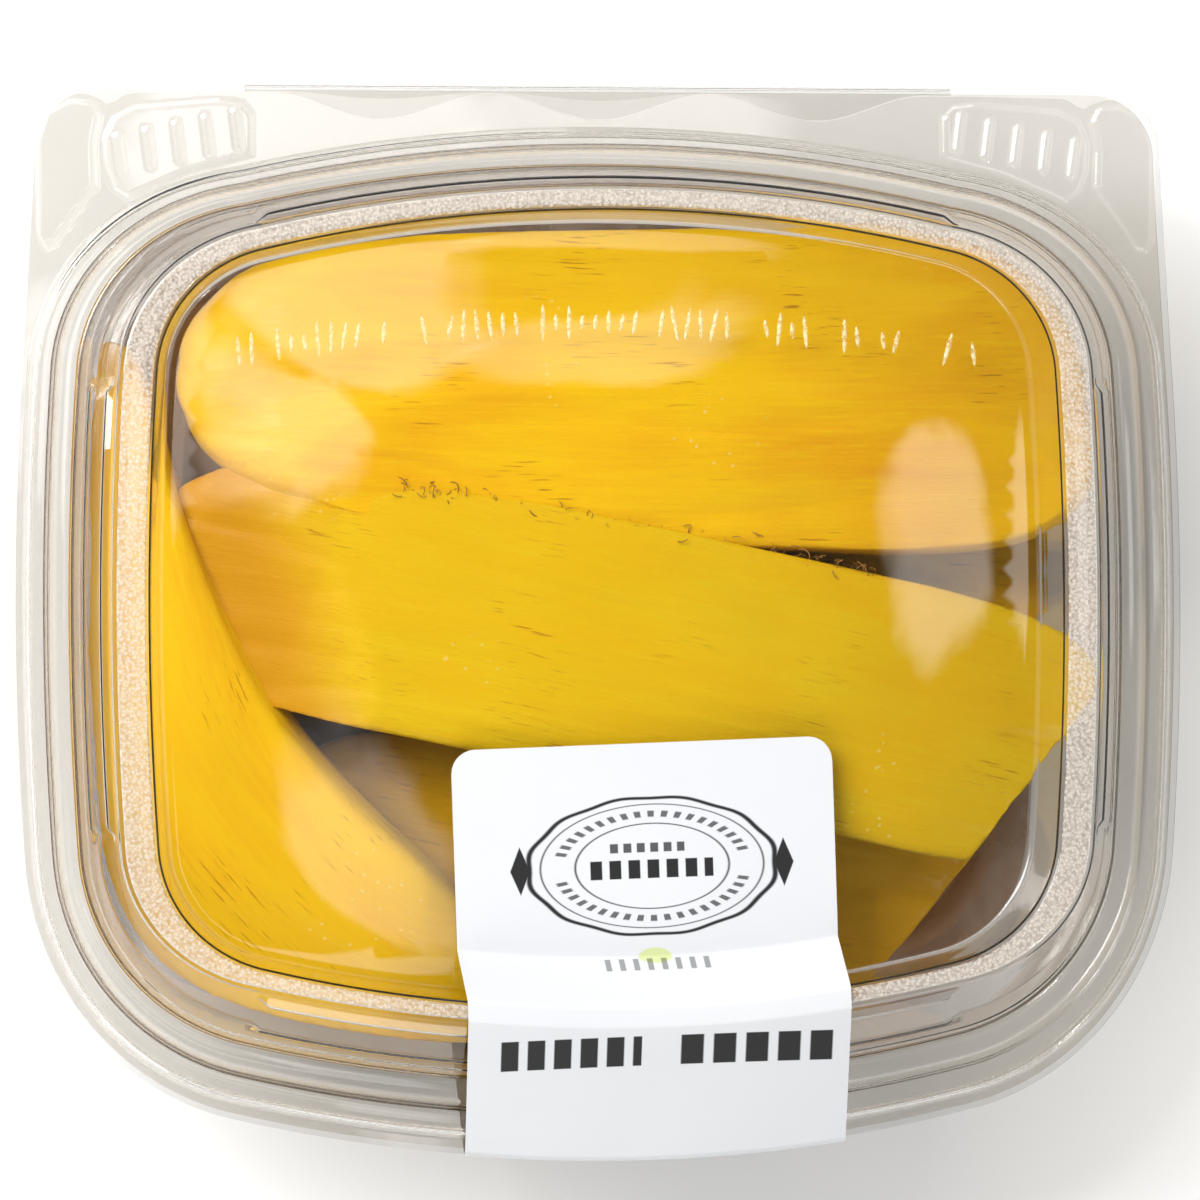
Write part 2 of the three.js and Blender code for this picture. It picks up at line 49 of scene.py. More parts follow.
scene = bpy.context.scene


def linked(name, data):
    """A new object of the scene round a mesh, a lamp or a camera."""
    obj = bpy.data.objects.new(name, data)
    scene.collection.objects.link(obj)
    return obj


# %% [markdown]
# The sizes below are the ones that the solids were made from. The window is the flat middle of
# the lid, a rectangle with bowed sides. Each ridge runs outside its edge at a distance d, so a
# wall is a table of rows: height, then d at the sides, at the back and at the front. The lid
# rests on the tub, so its heights follow from the tub's flange, the gap and the sheet.

# %% Sizes of the formed sheets
SHEET = 0.5
GAP = 0.3
WINDOW = {"half_width": 62, "half_depth": 54, "side_bow": 480, "end_bow": 205, "corner": 17}
WINDOW_BEHIND = 2
TUB_FLANGE_Z = 34
LID_FLANGE_Z = TUB_FLANGE_Z + GAP + SHEET
BEAD_Z = TUB_FLANGE_Z + 1.4
WINDOW_Z = 35.4
WINDOW_CROWN = 0.6
RING_Z = 43.2
FLOOR_LIFT = 1.2
TUB_WALL = [
    [FLOOR_LIFT + SHEET, -8, -8, -8],
    [FLOOR_LIFT + SHEET, -6.2, -6.2, -6.2],
    [SHEET, -4.6, -4.6, -4.6],
    [SHEET, -1.5, -2.5, -1.5],
    [1.9, 2.2, -0.5, 2.2],
    [5.1, 4.6, 1.5, 4.6],
    [9.5, 6.2, 2.8, 6.2],
    [33.2, 12.0, 7.4, 11.8],
]
RIM = [
    [TUB_FLANGE_Z - 0.1, 12.6, 8.0, 12.4],
    [TUB_FLANGE_Z, 13.6, 9.0, 13.4],
    [TUB_FLANGE_Z, 15.4, 10.1, 16.0],
    [BEAD_Z, 16.2, 10.7, 16.8],
    [BEAD_Z, 18.3, 12.1, 19.7],
    [TUB_FLANGE_Z, 19.1, 12.8, 20.5],
    [TUB_FLANGE_Z, 19.7, 13.4, 21.2],
]
LID_WALL = [
    [WINDOW_Z, -2, -2, -2],
    [WINDOW_Z, 0, 0, 0],
    [WINDOW_Z + 0.5, 0.5, 0.3, 0.3],
    [RING_Z - 0.7, 2.3, 1.4, 1.4],
    [RING_Z, 3.0, 2.0, 2.0],
    [RING_Z, 7.0, 4.2, 3.8],
    [RING_Z - 0.7, 7.8, 4.9, 4.6],
    [41, 8.6, 5.5, 6.0],
    [38, 10.2, 6.6, 9.0],
    [36.2, 11.6, 7.5, 11.4],
]
RING_FACE_FROM = RING_Z - SHEET - 0.15
# Up to this height the tub's sheet gets the brown film of painted shade.
FLOOR_SHADE_UP_TO = 6.5
FLANGE_OUT = {"side": 20.9, "front": 23.0}
HINGE_Y = 73.4
SNAP_BAR = {"out": 0.8, "top": 42, "bottom": 37, "slope": 0.6, "side_reach": 30, "end_reach": 47}
SCALLOP = {"pitch": 30.8, "reach": 46.2, "depth": 3.6}
STRIP_HALF_LENGTH = 50
STRIP_LEAST = 1.2
print("lid flange, window and ring at:", LID_FLANGE_Z, WINDOW_Z, RING_Z, "mm")

# %% [markdown]
# The photograph is taken from above, with the camera about nine degrees to the left. The lens
# could be any, as long as the pack fills the picture. A long one from 1.15 m keeps the sides of
# the tub as upright as they are there.

# %% Camera
CAMERA_AIM = Vector((-0.3, 3.15, LID_FLANGE_Z)) * MM
CAMERA_SIDE = Vector((-0.158, 0.0, 0.987)).normalized()
CAMERA_DISTANCE = 1.15
CAMERA_ROLL = math.radians(-0.2)
PICTURE_WIDTH = 0.168
SENSOR_WIDTH = 36

camera_data = bpy.data.cameras.new("camera")
camera_data.sensor_width = SENSOR_WIDTH
camera_data.lens = SENSOR_WIDTH * CAMERA_DISTANCE / PICTURE_WIDTH
camera_data.clip_start, camera_data.clip_end = 0.05, 20
camera = linked("camera", camera_data)
camera_right = Vector((0, 1, 0)).cross(CAMERA_SIDE).normalized()
camera_up = CAMERA_SIDE.cross(camera_right)
turn = Matrix((camera_right, camera_up, CAMERA_SIDE)).transposed().to_4x4()
place = Matrix.Translation(CAMERA_AIM + CAMERA_SIDE * CAMERA_DISTANCE)
camera.matrix_world = place @ turn @ Matrix.Rotation(CAMERA_ROLL, 4, "Z")
scene.camera = camera
print("lens in mm:", round(camera_data.lens, 1))

# %% [markdown]
# Every material and every Geometry Nodes tree is built from sums. They could be laid out node by
# node and linked, but a long mask is hard to read that way. Here a Value stands for a socket and
# takes part in sums as a number does, so a mask reads as the formula it is.


# %% Node sums
class Value:
    """A socket that takes part in sums as a plain number does."""

    def __init__(self, bench, socket):
        self.bench = bench
        self.socket = socket

    def __add__(self, other):
        return self.bench.maths("ADD", self, other)

    def __sub__(self, other):
        return self.bench.maths("SUBTRACT", self, other)

    def __rsub__(self, other):
        return self.bench.maths("SUBTRACT", other, self)

    def __mul__(self, other):
        return self.bench.maths("MULTIPLY", self, other)

    def __truediv__(self, other):
        return self.bench.maths("DIVIDE", self, other)

    def __rtruediv__(self, other):
        return self.bench.maths("DIVIDE", other, self)

    def __pow__(self, other):
        return self.bench.maths("POWER", self, other)

    def __rpow__(self, other):
        return self.bench.maths("POWER", other, self)

    def __lt__(self, other):
        return self.bench.maths("LESS_THAN", self, other)

    def __gt__(self, other):
        return self.bench.maths("GREATER_THAN", self, other)

    def __abs__(self):
        return self.bench.maths("ABSOLUTE", self)

    __radd__ = __add__
    __rmul__ = __mul__


print("a value takes part in:", [word for word in vars(Value) if word not in vars(object)])

# %% [markdown]
# A Bench holds the nodes of one tree. Its add method makes any node by its type, its settings and
# the values or links of its inputs, and the others are words for the nodes that come up often:
# noise, a soft step, a mix of two colours, a bump, a shader.


# %% The bench
def named(sockets, name):
    """The socket at a number, or the one in use that has a name."""
    if isinstance(name, int):
        return sockets[name]
    return next(s for s in sockets if s.name == name and s.enabled)


class Bench:
    """The nodes of one material or one Geometry Nodes tree."""

    def __init__(self, tree):
        self.tree = tree

    def add(self, kind, settings=(), values=()):
        """A node of a kind, with its settings made first and its inputs after them."""
        node = self.tree.nodes.new(kind)
        for name, setting in dict(settings).items():
            if name != "stops":
                setattr(node, name, setting)
                continue
            ramp = node.color_ramp.elements
            while len(ramp) < len(setting):
                ramp.new(1)
            for element, (position, colour) in zip(ramp, setting):
                element.position, element.color = position, (*colour, 1)
        for name, value in dict(values).items():
            socket = named(node.inputs, name)
            if isinstance(value, Value):
                self.tree.links.new(value.socket, socket)
            else:
                socket.default_value = value
        return node

    def out(self, node, name=0):
        return Value(self, named(node.outputs, name))

    def maths(self, operation, *values):
        return self.out(self.add("ShaderNodeMath", {"operation": operation}, enumerate(values)))

    def vector(self, operation, *values):
        return self.out(self.add("ShaderNodeVectorMath", {"operation": operation}, enumerate(values)))

    def scaled(self, vector, factor):
        values = {0: vector, "Scale": factor}
        return self.out(self.add("ShaderNodeVectorMath", {"operation": "SCALE"}, values))

    def split(self, vector):
        node = self.add("ShaderNodeSeparateXYZ", (), {0: vector})
        return [self.out(node, axis) for axis in "XYZ"]

    def joined(self, x, y, z):
        return self.out(self.add("ShaderNodeCombineXYZ", (), {"X": x, "Y": y, "Z": z}))

    def eased(self, value, low, high):
        """0 below low, 1 above high and a smooth rise between them."""
        settings = {"interpolation_type": "SMOOTHSTEP"}
        values = {"Value": value, "From Min": low, "From Max": high}
        return self.out(self.add("ShaderNodeMapRange", settings, values))

    def mottle(self, place, scale, detail=2.0, roughness=0.5):
        """Cloudy noise about 0.5. A large scale makes small clouds."""
        values = {"Vector": place, "Scale": scale, "Detail": detail, "Roughness": roughness}
        return self.out(self.add("ShaderNodeTexNoise", (), values), "Fac")

    def pebbles(self, place, scale):
        """The distance to the nearest of many scattered points: 0 at the point itself."""
        values = {"Vector": place, "Scale": scale}
        return self.out(self.add("ShaderNodeTexVoronoi", (), values), "Distance")

    def colour(self, factor, a, b):
        """Colour a where the factor is 0 and b where it is 1."""
        a, b = (value if isinstance(value, Value) else (*value, 1) for value in (a, b))
        values = {"Factor": factor, "A": a, "B": b}
        return self.out(self.add("ShaderNodeMix", {"data_type": "RGBA"}, values), "Result")

    def bump(self, height, distance, strength=1.0):
        values = {"Height": height, "Distance": distance, "Strength": strength}
        return self.out(self.add("ShaderNodeBump", (), values))

    def shader(self, kind, **values):
        """A shader. A name's underscores stand for the spaces in its input's name."""
        values = {name.replace("_", " "): value for name, value in values.items()}
        for name in {"Color", "Base Color"} & set(values):
            if isinstance(values[name], tuple):
                values[name] = (*values[name], 1)
        return self.out(self.add("ShaderNodeBsdf" + kind, (), values))

    def mixed(self, factor, a, b):
        return self.out(self.add("ShaderNodeMixShader", (), {0: factor, 1: a, 2: b}))


def new_material(name):
    """A material with only its output, and the bench, the place on the piece and the output."""
    material = bpy.data.materials.new(name)
    material.use_nodes = True
    material.node_tree.nodes.clear()
    bench = Bench(material.node_tree)
    place = bench.out(bench.add("ShaderNodeTexCoord"), "Object")
    return material, bench, place


def finish_material(bench, shader):
    bench.add("ShaderNodeOutputMaterial", (), {"Surface": shader})


print("a bench can:", [word for word in vars(Bench) if word[0] != "_"])

# %% [markdown]
# The tub and the lid are clear formed sheet. What is behind shows through, a little darker where
# the sheet is seen edge on, and each face mirrors a little, more so when seen at a low angle.
# Glass does both. Lamps and light that comes off the fruit pass straight through it instead,
# because bent light would need far more samples to come out smooth.
#
# The top of the stacking ring has a pebbled, frosted face, which the mould gives it so that
# stacked packs don't slip; its domes are painted a warm beige, partly painted orange light off the
# fruit. On the tub's floor an uneven brown film is painted, which stands in for shade and for the
# orange light that the fruit throws there. The small strokes on the window carry a whitish painted
# highlight. Each is a material of its own, so that the rest stays quick to render.


# %% Clear sheet
PET_IOR = 1.57


def bent_and_straight(bench, tint, shade):
    """What a sheet does to a look through it, what it does to light, and which of them it is."""
    bent = bench.shader("Glass", Color=tint, Roughness=0.0, IOR=PET_IOR)
    straight = bench.shader("Transparent", Color=shade)
    path = bench.add("ShaderNodeLightPath")
    is_light = bench.maths(
        "MAXIMUM", bench.out(path, "Is Shadow Ray"), bench.out(path, "Is Diffuse Ray")
    )
    return bent, straight, is_light


def clear_sheet(name, tint, shade):
    """Formed sheet that bends what is behind it. Lamps and bounced light pass straight through."""
    material, bench, _ = new_material(name)
    bent, straight, is_light = bent_and_straight(bench, tint, shade)
    finish_material(bench, bench.mixed(is_light, bent, straight))
    return material


def floor_shade_sheet(name, tint, shade):
    """Clear sheet with a brown film that paints in shade and the fruit's orange light."""
    material, bench, place = new_material(name)
    bent, straight, is_light = bent_and_straight(bench, tint, shade)
    film = bench.mottle(place, 60, 3)
    # The brown film stands in for the shade on the tub's floor and the fruit's orange light there.
    brown_shade = bench.shader(
        "Principled",
        Base_Color=bench.colour(film, (0.66, 0.3, 0.06), (0.78, 0.46, 0.16)),
        Roughness=0.12 + film * 0.15,
    )
    shaded = bench.mixed(bench.eased(film, 0.25, 0.7) * 0.35 + 0.2, bent, brown_shade)
    finish_material(bench, bench.mixed(is_light, shaded, straight))
    return material


def frosted_sheet(name, tint, shade):
    """The pebbled top of the stacking ring: clear between many small domes that scatter light."""
    material, bench, place = new_material(name)
    bent, straight, is_light = bent_and_straight(bench, tint, shade)
    pebble = bench.pebbles(place, 2000)
    # The domes' warm beige is partly whitish frost and partly painted orange light off the fruit.
    frost_and_fruit_light = bench.shader(
        "Principled",
        Base_Color=(0.8, 0.73, 0.65),
        Roughness=0.18,
        Normal=bench.bump(1 - pebble, 0.0001),
    )
    frosted = bench.mixed(bench.eased(pebble, 0.8, 0.2) * 0.34 + 0.14, bent, frost_and_fruit_light)
    finish_material(bench, bench.mixed(is_light, frosted, straight))
    return material


def stroke_sheet(name):
    """Sheet pressed up into a small stroke, with a whitish painted highlight over part of it."""
    material, bench, place = new_material(name)
    grain = bench.mottle(place, 1500, 2)
    clear = bench.shader("Transparent", Color=(0.98, 0.96, 0.9))
    # A painted highlight: whitish yellow over part of each stroke, for the light its slopes catch.
    stroke_highlight = bench.shader(
        "Principled", Base_Color=(0.92, 0.86, 0.55), Roughness=0.12 + grain * 0.1
    )
    finish_material(bench, bench.mixed(bench.eased(grain, 0.3, 0.65) * 0.45 + 0.05, clear, stroke_highlight))
    return material


tub_plastic = clear_sheet("clear_tub", (0.925, 0.91, 0.885), (0.6, 0.57, 0.52))
lid_plastic = clear_sheet("clear_lid", (0.96, 0.955, 0.948), (0.91, 0.905, 0.9))
strip_plastic = clear_sheet("clear_strip", (0.91, 0.905, 0.895), (0.75, 0.745, 0.735))
# The floor's sheet carries painted shade and painted orange light.
floor_shade_plastic = floor_shade_sheet("floor_shade", (0.88, 0.8, 0.72), (0.6, 0.52, 0.43))
# The ring's frost is painted warm, partly standing in for the fruit's orange light.
ring_plastic = frosted_sheet("frosted_ring", (0.94, 0.925, 0.9), (0.85, 0.83, 0.8))
# The strokes carry a whitish painted highlight.
rib_plastic = stroke_sheet("raised_strokes")
for sheet in (tub_plastic, lid_plastic, strip_plastic, floor_shade_plastic, ring_plastic, rib_plastic):
    print(sheet.name, "nodes:", len(sheet.node_tree.nodes))

# %% [markdown]
# Ripe mango is a moist flesh. Its colour drifts between yellow and deep orange over a few
# centimetres, and fibres run along the slice as fine lines, some of them brown. Light and shade
# are painted in as well: the flesh is painted darker to the right, as the light falls from the
# left, and brighter and a deeper orange low in the tub, where it lies in shade. Small pale specks
# are painted glints. The pattern follows the slice: each point of its mesh carries how far along,
# across and deep it lies, and noise that is drawn out along the first of these makes the fibres.
# The middle slice is paler, and its left end is painted dark orange, as painted shade where the
# left slice shades it and it curves down.


# %% Mango flesh
DEEP_ORANGE = (0.84, 0.39, 0.001)
ORANGE_YELLOW = (0.92, 0.53, 0.001)
YELLOW = (0.93, 0.59, 0.002)
PALE_DEEP = (0.8, 0.45, 0.001)
PALE_MIDDLE = (0.8, 0.49, 0.001)
PALE_YELLOW = (0.8, 0.56, 0.006)
# Painted shade for the middle slice's left end, which the left slice shades.
END_SHADE_ORANGE = (0.64, 0.28, 0.001)
# Painted light: flesh low in the tub lies in shade and is painted brighter and oranger.
LOW_PAINTED_ORANGE = (1.0, 0.46, 0.001)
STREAK_BROWN = (0.36, 0.13, 0.003)
# Painted glints: the pale colour of small specks that stand in for glints of damp spots.
GLINT_PALE = (0.98, 0.86, 0.4)
# Painted shade: this tint darkens the flesh to the right, as the light falls from the left.
RIGHT_SHADE = (0.76, 0.74, 0.8)


def drawn_out(bench, grain, scales, detail, roughness=0.5):
    """Noise with its own scale along, across and out of a slice, in waves per mm."""
    return bench.mottle(bench.vector("MULTIPLY", grain, scales), 1.0, detail, roughness)


def flesh_colour(bench, place, tone, fibres, stops):
    """The flesh's colour, with pale fibres, brown streaks and pale specks that are painted glints."""
    ramp = bench.add("ShaderNodeValToRGB", {"stops": stops}, {0: tone})
    base = bench.out(ramp, "Color")
    base = bench.colour(bench.eased(fibres, 0.56, 0.72) * 0.45, base, stops[-1][1])
    grain = bench.out(bench.add("ShaderNodeAttribute", {"attribute_name": "grain"}), "Vector")
    streak = bench.eased(drawn_out(bench, grain, (0.16, 2.6, 2.6), 2, 0.55), 0.6, 0.7)
    patch = bench.eased(bench.mottle(place, 60, 1), 0.5, 0.64)
    base = bench.colour(streak * patch * 0.7, base, STREAK_BROWN)
    # Painted glints: pale specks, in patches.
    glint = bench.eased(bench.pebbles(place, 600), 0.2, 0.1)
    glint_patch = bench.eased(bench.mottle(place, 45, 1), 0.6, 0.66)
    return bench.colour(glint * glint_patch * 0.3, base, GLINT_PALE)


def end_shade(bench, place, drift, base):
    """Painted shade: dark orange on the middle slice's left end and the facet behind it."""
    x, y, _ = bench.split(place)
    # Painted shade where the left slice shades the end and it curves down.
    shade_beside = bench.eased(0.939 * x + 0.343 * y + drift * 0.006, -0.0285, -0.0415)
    base = bench.colour(shade_beside * 0.85, base, END_SHADE_ORANGE)
    facet = bench.eased(0.935 * x - 0.355 * y + drift * 0.003, -0.0365, -0.0395)
    return bench.colour(facet * 0.25, base, END_SHADE_ORANGE)


def flesh(name, colours, paleness, with_end_shade=False):
    material, bench, place = new_material(name)
    grain = bench.out(bench.add("ShaderNodeAttribute", {"attribute_name": "grain"}), "Vector")
    drift = bench.mottle(place, 28, 3)
    broad = drawn_out(bench, grain, (0.03, 0.14, 0.1), 3)
    fibres = drawn_out(bench, grain, (0.09, 1.5, 1.5), 4, 0.6)
    fine = drawn_out(bench, grain, (0.5, 4.0, 4.0), 3, 0.6)
    tone = drift * 0.45 + broad * 0.4 + fibres * 0.25 + (paleness - 0.05)
    base = flesh_colour(bench, place, tone, fibres, list(zip((0.3, 0.52, 0.75), colours)))
    # The middle slice gets painted shade on its left end.
    if with_end_shade:
        base = end_shade(bench, place, drift, base)
    x, _, z = bench.split(place)
    # Painted light: flesh low in the tub, in shade, is made brighter and a deeper orange.
    base = bench.colour(bench.eased(z, 0.021, 0.011) * 0.75, base, LOW_PAINTED_ORANGE)
    # Painted shade: the flesh is darker to the right, as the light falls from the left.
    right_shade = bench.eased(x + drift * 0.02, 0.005, 0.075) * bench.eased(z, 0.01, 0.024)
    base = bench.colour(right_shade * 0.9, base, bench.vector("MULTIPLY", base, RIGHT_SHADE))
    height = fibres * 0.6 + fine * 0.35 + bench.mottle(place, 700, 2) * 0.25
    shader = bench.shader(
        "Principled",
        Base_Color=base,
        Roughness=0.36 + fine * 0.24,
        Specular_IOR_Level=0.14,
        Coat_Weight=0.08,
        Coat_Roughness=0.16,
        Normal=bench.bump(height, 0.0003, 0.5),
    )
    finish_material(bench, shader)
    return material


ripe_flesh = flesh("ripe_flesh", (DEEP_ORANGE, ORANGE_YELLOW, YELLOW), 0.0)
# Its left end gets the painted shade.
pale_flesh = flesh("pale_flesh", (PALE_DEEP, PALE_MIDDLE, PALE_YELLOW), 0.05, with_end_shade=True)
for material in (ripe_flesh, pale_flesh):
    print(material.name, "nodes:", len(material.node_tree.nodes))

# %% [markdown]
# The outline of the window is laid out once, as points with outward normals. A ring of the tub
# or the lid is that outline moved outwards, and a wall is a stack of such rings. This keeps every
# ridge parallel, as the moulds of such tubs do.

# %% The bowed outline
STEPS = {"side": 28, "corner": 44, "end": 30}


def along_arc(centre, radius, start, stop, steps):
    angles = start + (stop - start) * np.arange(steps) / steps
    normals = np.stack([np.cos(angles), np.sin(angles)], 1)
    return np.concatenate([np.asarray(centre) + radius * normals, normals], 1)


def bowed_outline():
    """Rows of x, y and the normal's x, y, anticlockwise from +X."""
    corner_radius = WINDOW["corner"]
    side_centre = np.array([WINDOW["half_width"] - WINDOW["side_bow"], 0.0])
    end_centre = np.array([0.0, WINDOW["half_depth"] - WINDOW["end_bow"]])
    side_reach = WINDOW["side_bow"] - corner_radius
    end_reach = WINDOW["end_bow"] - corner_radius
    between = end_centre - side_centre
    span = np.hypot(*between)
    unit = between / span
    along = (side_reach**2 - end_reach**2 + span**2) / (2 * span)
    across = math.sqrt(side_reach**2 - along**2)
    foot = side_centre + unit * along
    offset = np.array([-unit[1], unit[0]]) * across
    corner = foot + offset if (foot + offset).min() > 0 else foot - offset
    side_end = math.atan2(*(corner - side_centre)[::-1])
    end_start = math.atan2(*(corner - end_centre)[::-1])
    quarter = np.concatenate(
        [
            along_arc(side_centre, WINDOW["side_bow"], 0, side_end, STEPS["side"]),
            along_arc(corner, corner_radius, side_end, end_start, STEPS["corner"]),
            along_arc(end_centre, WINDOW["end_bow"], end_start, math.pi / 2, STEPS["end"]),
            along_arc(end_centre, WINDOW["end_bow"], math.pi / 2, 0, 1),
        ]
    )
    half = np.concatenate([quarter, quarter[-2:0:-1] * (-1, 1, -1, 1)])
    left = quarter[:1] * (-1, 1, -1, 1)
    return np.concatenate([half, left, half[:0:-1] * (1, -1, 1, -1)])


outline = bowed_outline()
OUTLINE, NORMALS = outline[:, :2], outline[:, 2:]
END_SHARE = NORMALS[:, 1] ** 2
print("outline points:", len(OUTLINE))

# %% [markdown]
# Formed sheet has no sharp corner, because it is drawn hot over the mould. So each corner of a
# wall's rows is rounded, long rows are divided so that relief can be pressed into them, and the
# second face is the first one moved by the sheet's thickness.


# %% Profiles
LEAST_MITRE = 0.6


def profile(table):
    """[d, z] rows of a table at every place of the outline."""
    rows = np.array(table, float)
    at_end = np.where(NORMALS[:, 1:] > 0, rows[:, 2], rows[:, 3])
    d = rows[:, 1] * (1 - END_SHARE[:, None]) + at_end * END_SHARE[:, None]
    return np.stack([d, np.broadcast_to(rows[:, 0], d.shape)], 2)


def rounded(path, radius, steps=3):
    """The path with each inner corner replaced by a short curve."""
    parts = [path[:, :1]]
    for i in range(1, path.shape[1] - 1):
        here = path[:, i]
        back, on = path[:, i - 1] - here, path[:, i + 1] - here
        back_length = np.linalg.norm(back, axis=1, keepdims=True)
        on_length = np.linalg.norm(on, axis=1, keepdims=True)
        back, on = back / back_length, on / on_length
        inner = np.arccos(np.clip((back * on).sum(1, keepdims=True), -1, 1)) / 2
        reach = np.clip(radius / np.tan(inner), 0.06, 0.45 * np.minimum(back_length, on_length))
        leg_in, leg_out = here + back * reach, here + on * reach
        for t in np.linspace(0, 1, steps + 1):
            point = (1 - t) ** 2 * leg_in + 2 * t * (1 - t) * here + t * t * leg_out
            parts.append(point[:, None])
    parts.append(path[:, -1:])
    return np.concatenate(parts, 1)


def divided(path, longest):
    """The path with its long legs divided into equal ones."""
    parts = []
    for i in range(path.shape[1] - 1):
        leg = path[:, i + 1] - path[:, i]
        count = max(1, math.ceil(np.linalg.norm(leg, axis=1).max() / longest))
        parts += [path[:, i] + leg * (step / count) for step in range(count)]
    return np.stack([*parts, path[:, -1]], 1)


def moved_left(path, distance):
    """The path moved to its left, with mitred corners that are never drawn out far."""
    step = np.diff(path, axis=1)
    step /= np.linalg.norm(step, axis=2, keepdims=True)
    left = np.stack([-step[..., 1], step[..., 0]], 2)
    before = np.concatenate([left[:, :1], left], 1)
    after = np.concatenate([left, left[:, -1:]], 1)
    mitre = before + after
    mitre /= np.linalg.norm(mitre, axis=2, keepdims=True)
    lean = (mitre * before).sum(2, keepdims=True)
    return path + mitre * distance / np.maximum(lean, LEAST_MITRE)


def rings_of(path):
    """Rings of x, y, z points, one for each row of the path."""
    xy = OUTLINE[:, None] + NORMALS[:, None] * path[..., :1]
    return np.concatenate([xy, path[..., 1:]], 2).transpose(1, 0, 2)


print("rows of the tub's wall and rim:", len(TUB_WALL), len(RIM), "of the lid's:", len(LID_WALL))

# %% [markdown]
# A Skin gathers points and faces, merges those that coincide and becomes a piece. All pieces are
# laid out from the middle of the window, which lies a little behind the middle of the pack.


# %% Meshes
MERGE = 0.001 * MM


def placed_mesh(name, points, edges=(), faces=()):
    """A mesh in metres from points in mm that are measured from the window's middle."""
    mesh = bpy.data.meshes.new(name)
    placed = (np.asarray(points, float) + (0, WINDOW_BEHIND, 0)) * MM
    mesh.from_pydata(placed.tolist(), list(edges), list(faces))
    return mesh


class Skin:
    """The points and faces of a piece in the making."""

    def __init__(self):
        self.points = []
        self.faces = []
        self.count = 0

    def add(self, points):
        first = self.count
        self.points.append(np.asarray(points, float).reshape(-1, 3))
        self.count += len(self.points[-1])
        return np.arange(first, self.count)

    def quads(self, a, b, c, d):
        self.faces += np.stack([a, b, c, d], -1).reshape(-1, 4).tolist()

    def band(self, a, b):
        """Joins two rings. The face looks left of a to b, seen along the ring."""
        self.quads(a, np.roll(a, -1), np.roll(b, -1), b)

    def piece(self, name, material, sharp=40, uv=None):
        mesh = placed_mesh(name, np.concatenate(self.points), faces=self.faces)
        if uv is not None:
            layer = mesh.uv_layers.new(name="print")
            corner_points = np.zeros(len(mesh.loops), int)
            mesh.loops.foreach_get("vertex_index", corner_points)
            layer.data.foreach_set("uv", np.asarray(uv, float)[corner_points].ravel())
        return as_piece(name, mesh, material, sharp)


def as_piece(name, mesh, material, sharp=40):
    """A linked object with one material, merged points and smooth faces but for sharp edges."""
    form = bmesh.new()
    form.from_mesh(mesh)
    bmesh.ops.remove_doubles(form, verts=form.verts, dist=MERGE)
    volume = form.calc_volume(signed=True)
    open_edges = sum(not edge.is_manifold for edge in form.edges)
    form.to_mesh(mesh)
    form.free()
    mesh.materials.clear()
    mesh.materials.append(material)
    mesh.shade_smooth()
    mesh.set_sharp_from_angle(angle=math.radians(sharp))
    obj = linked(name, mesh)
    triangles = sum(len(face.vertices) - 2 for face in mesh.polygons)
    print(f"{name}: {triangles} triangles, {volume / MM**3 / 1000:.1f} cm3, open {open_edges}")
    return obj


print("points closer than", MERGE / MM, "mm are merged")

# %% [markdown]
# The window and the flange are flat areas with any outline, one of them with a hole. They are
# filled with a grid of small triangles, because the window is crowned and the flange has pads
# pressed into it, and a face can only bend where it has points. The grid is finer in the rear
# corners, where the pads and the grip ribs are small.


# %% Filled areas
EDGE_GAP = 0.6
ROW_STEP = 0.87
REAR_CORNER = (46, 48)


def inside(points, loop):
    """Which points lie inside a closed loop."""
    x, y = points[:, 0, None], points[:, 1, None]
    ax, ay = loop[:, 0], loop[:, 1]
    bx, by = np.roll(ax, -1), np.roll(ay, -1)
    with np.errstate(divide="ignore", invalid="ignore"):
        crossing = ((ay > y) != (by > y)) & (x < (bx - ax) * (y - ay) / (by - ay) + ax)
    return crossing.sum(1) % 2 == 1


def clear_of(points, loop, distance):
    """Which points lie further than a distance from a loop's corners."""
    far = np.ones(len(points), bool)
    for part in np.array_split(np.arange(len(points)), max(1, len(points) // 500)):
        gaps = points[part, None] - loop[None]
        far[part] = np.hypot(gaps[..., 0], gaps[..., 1]).min(1) > distance
    return far


def hex_grid(low, high, pitch):
    xs = np.arange(low[0], high[0], pitch)
    ys = np.arange(low[1], high[1], pitch * ROW_STEP)
    grid = np.stack(np.meshgrid(xs, ys), -1)
    grid[1::2, :, 0] += pitch / 2
    return grid.reshape(-1, 2)


def in_rear_corner(points):
    """Which points lie where the pads are pressed into the lid's rear corners."""
    return (np.abs(points[:, 0]) > REAR_CORNER[0]) & (points[:, 1] > REAR_CORNER[1])


def grids_within(outer, hole, pitch, corner_pitch):
    """The grid points of an area, finer in its rear corners, that keep off its edges."""
    low, high = outer.min(0), outer.max(0)
    grids = [(hex_grid(low, high, pitch), pitch)]
    if corner_pitch:
        coarse, fine = grids[0][0], hex_grid(low, high, corner_pitch)
        grids = [(coarse[~in_rear_corner(coarse)], pitch)]
        grids.append((fine[in_rear_corner(fine)], corner_pitch))
    for grid, own in grids:
        grid = grid[inside(grid, outer) & clear_of(grid, outer, EDGE_GAP * own)]
        if hole is not None:
            grid = grid[~inside(grid, hole)]
            grid = grid[clear_of(grid, hole, EDGE_GAP * own)]
        yield grid


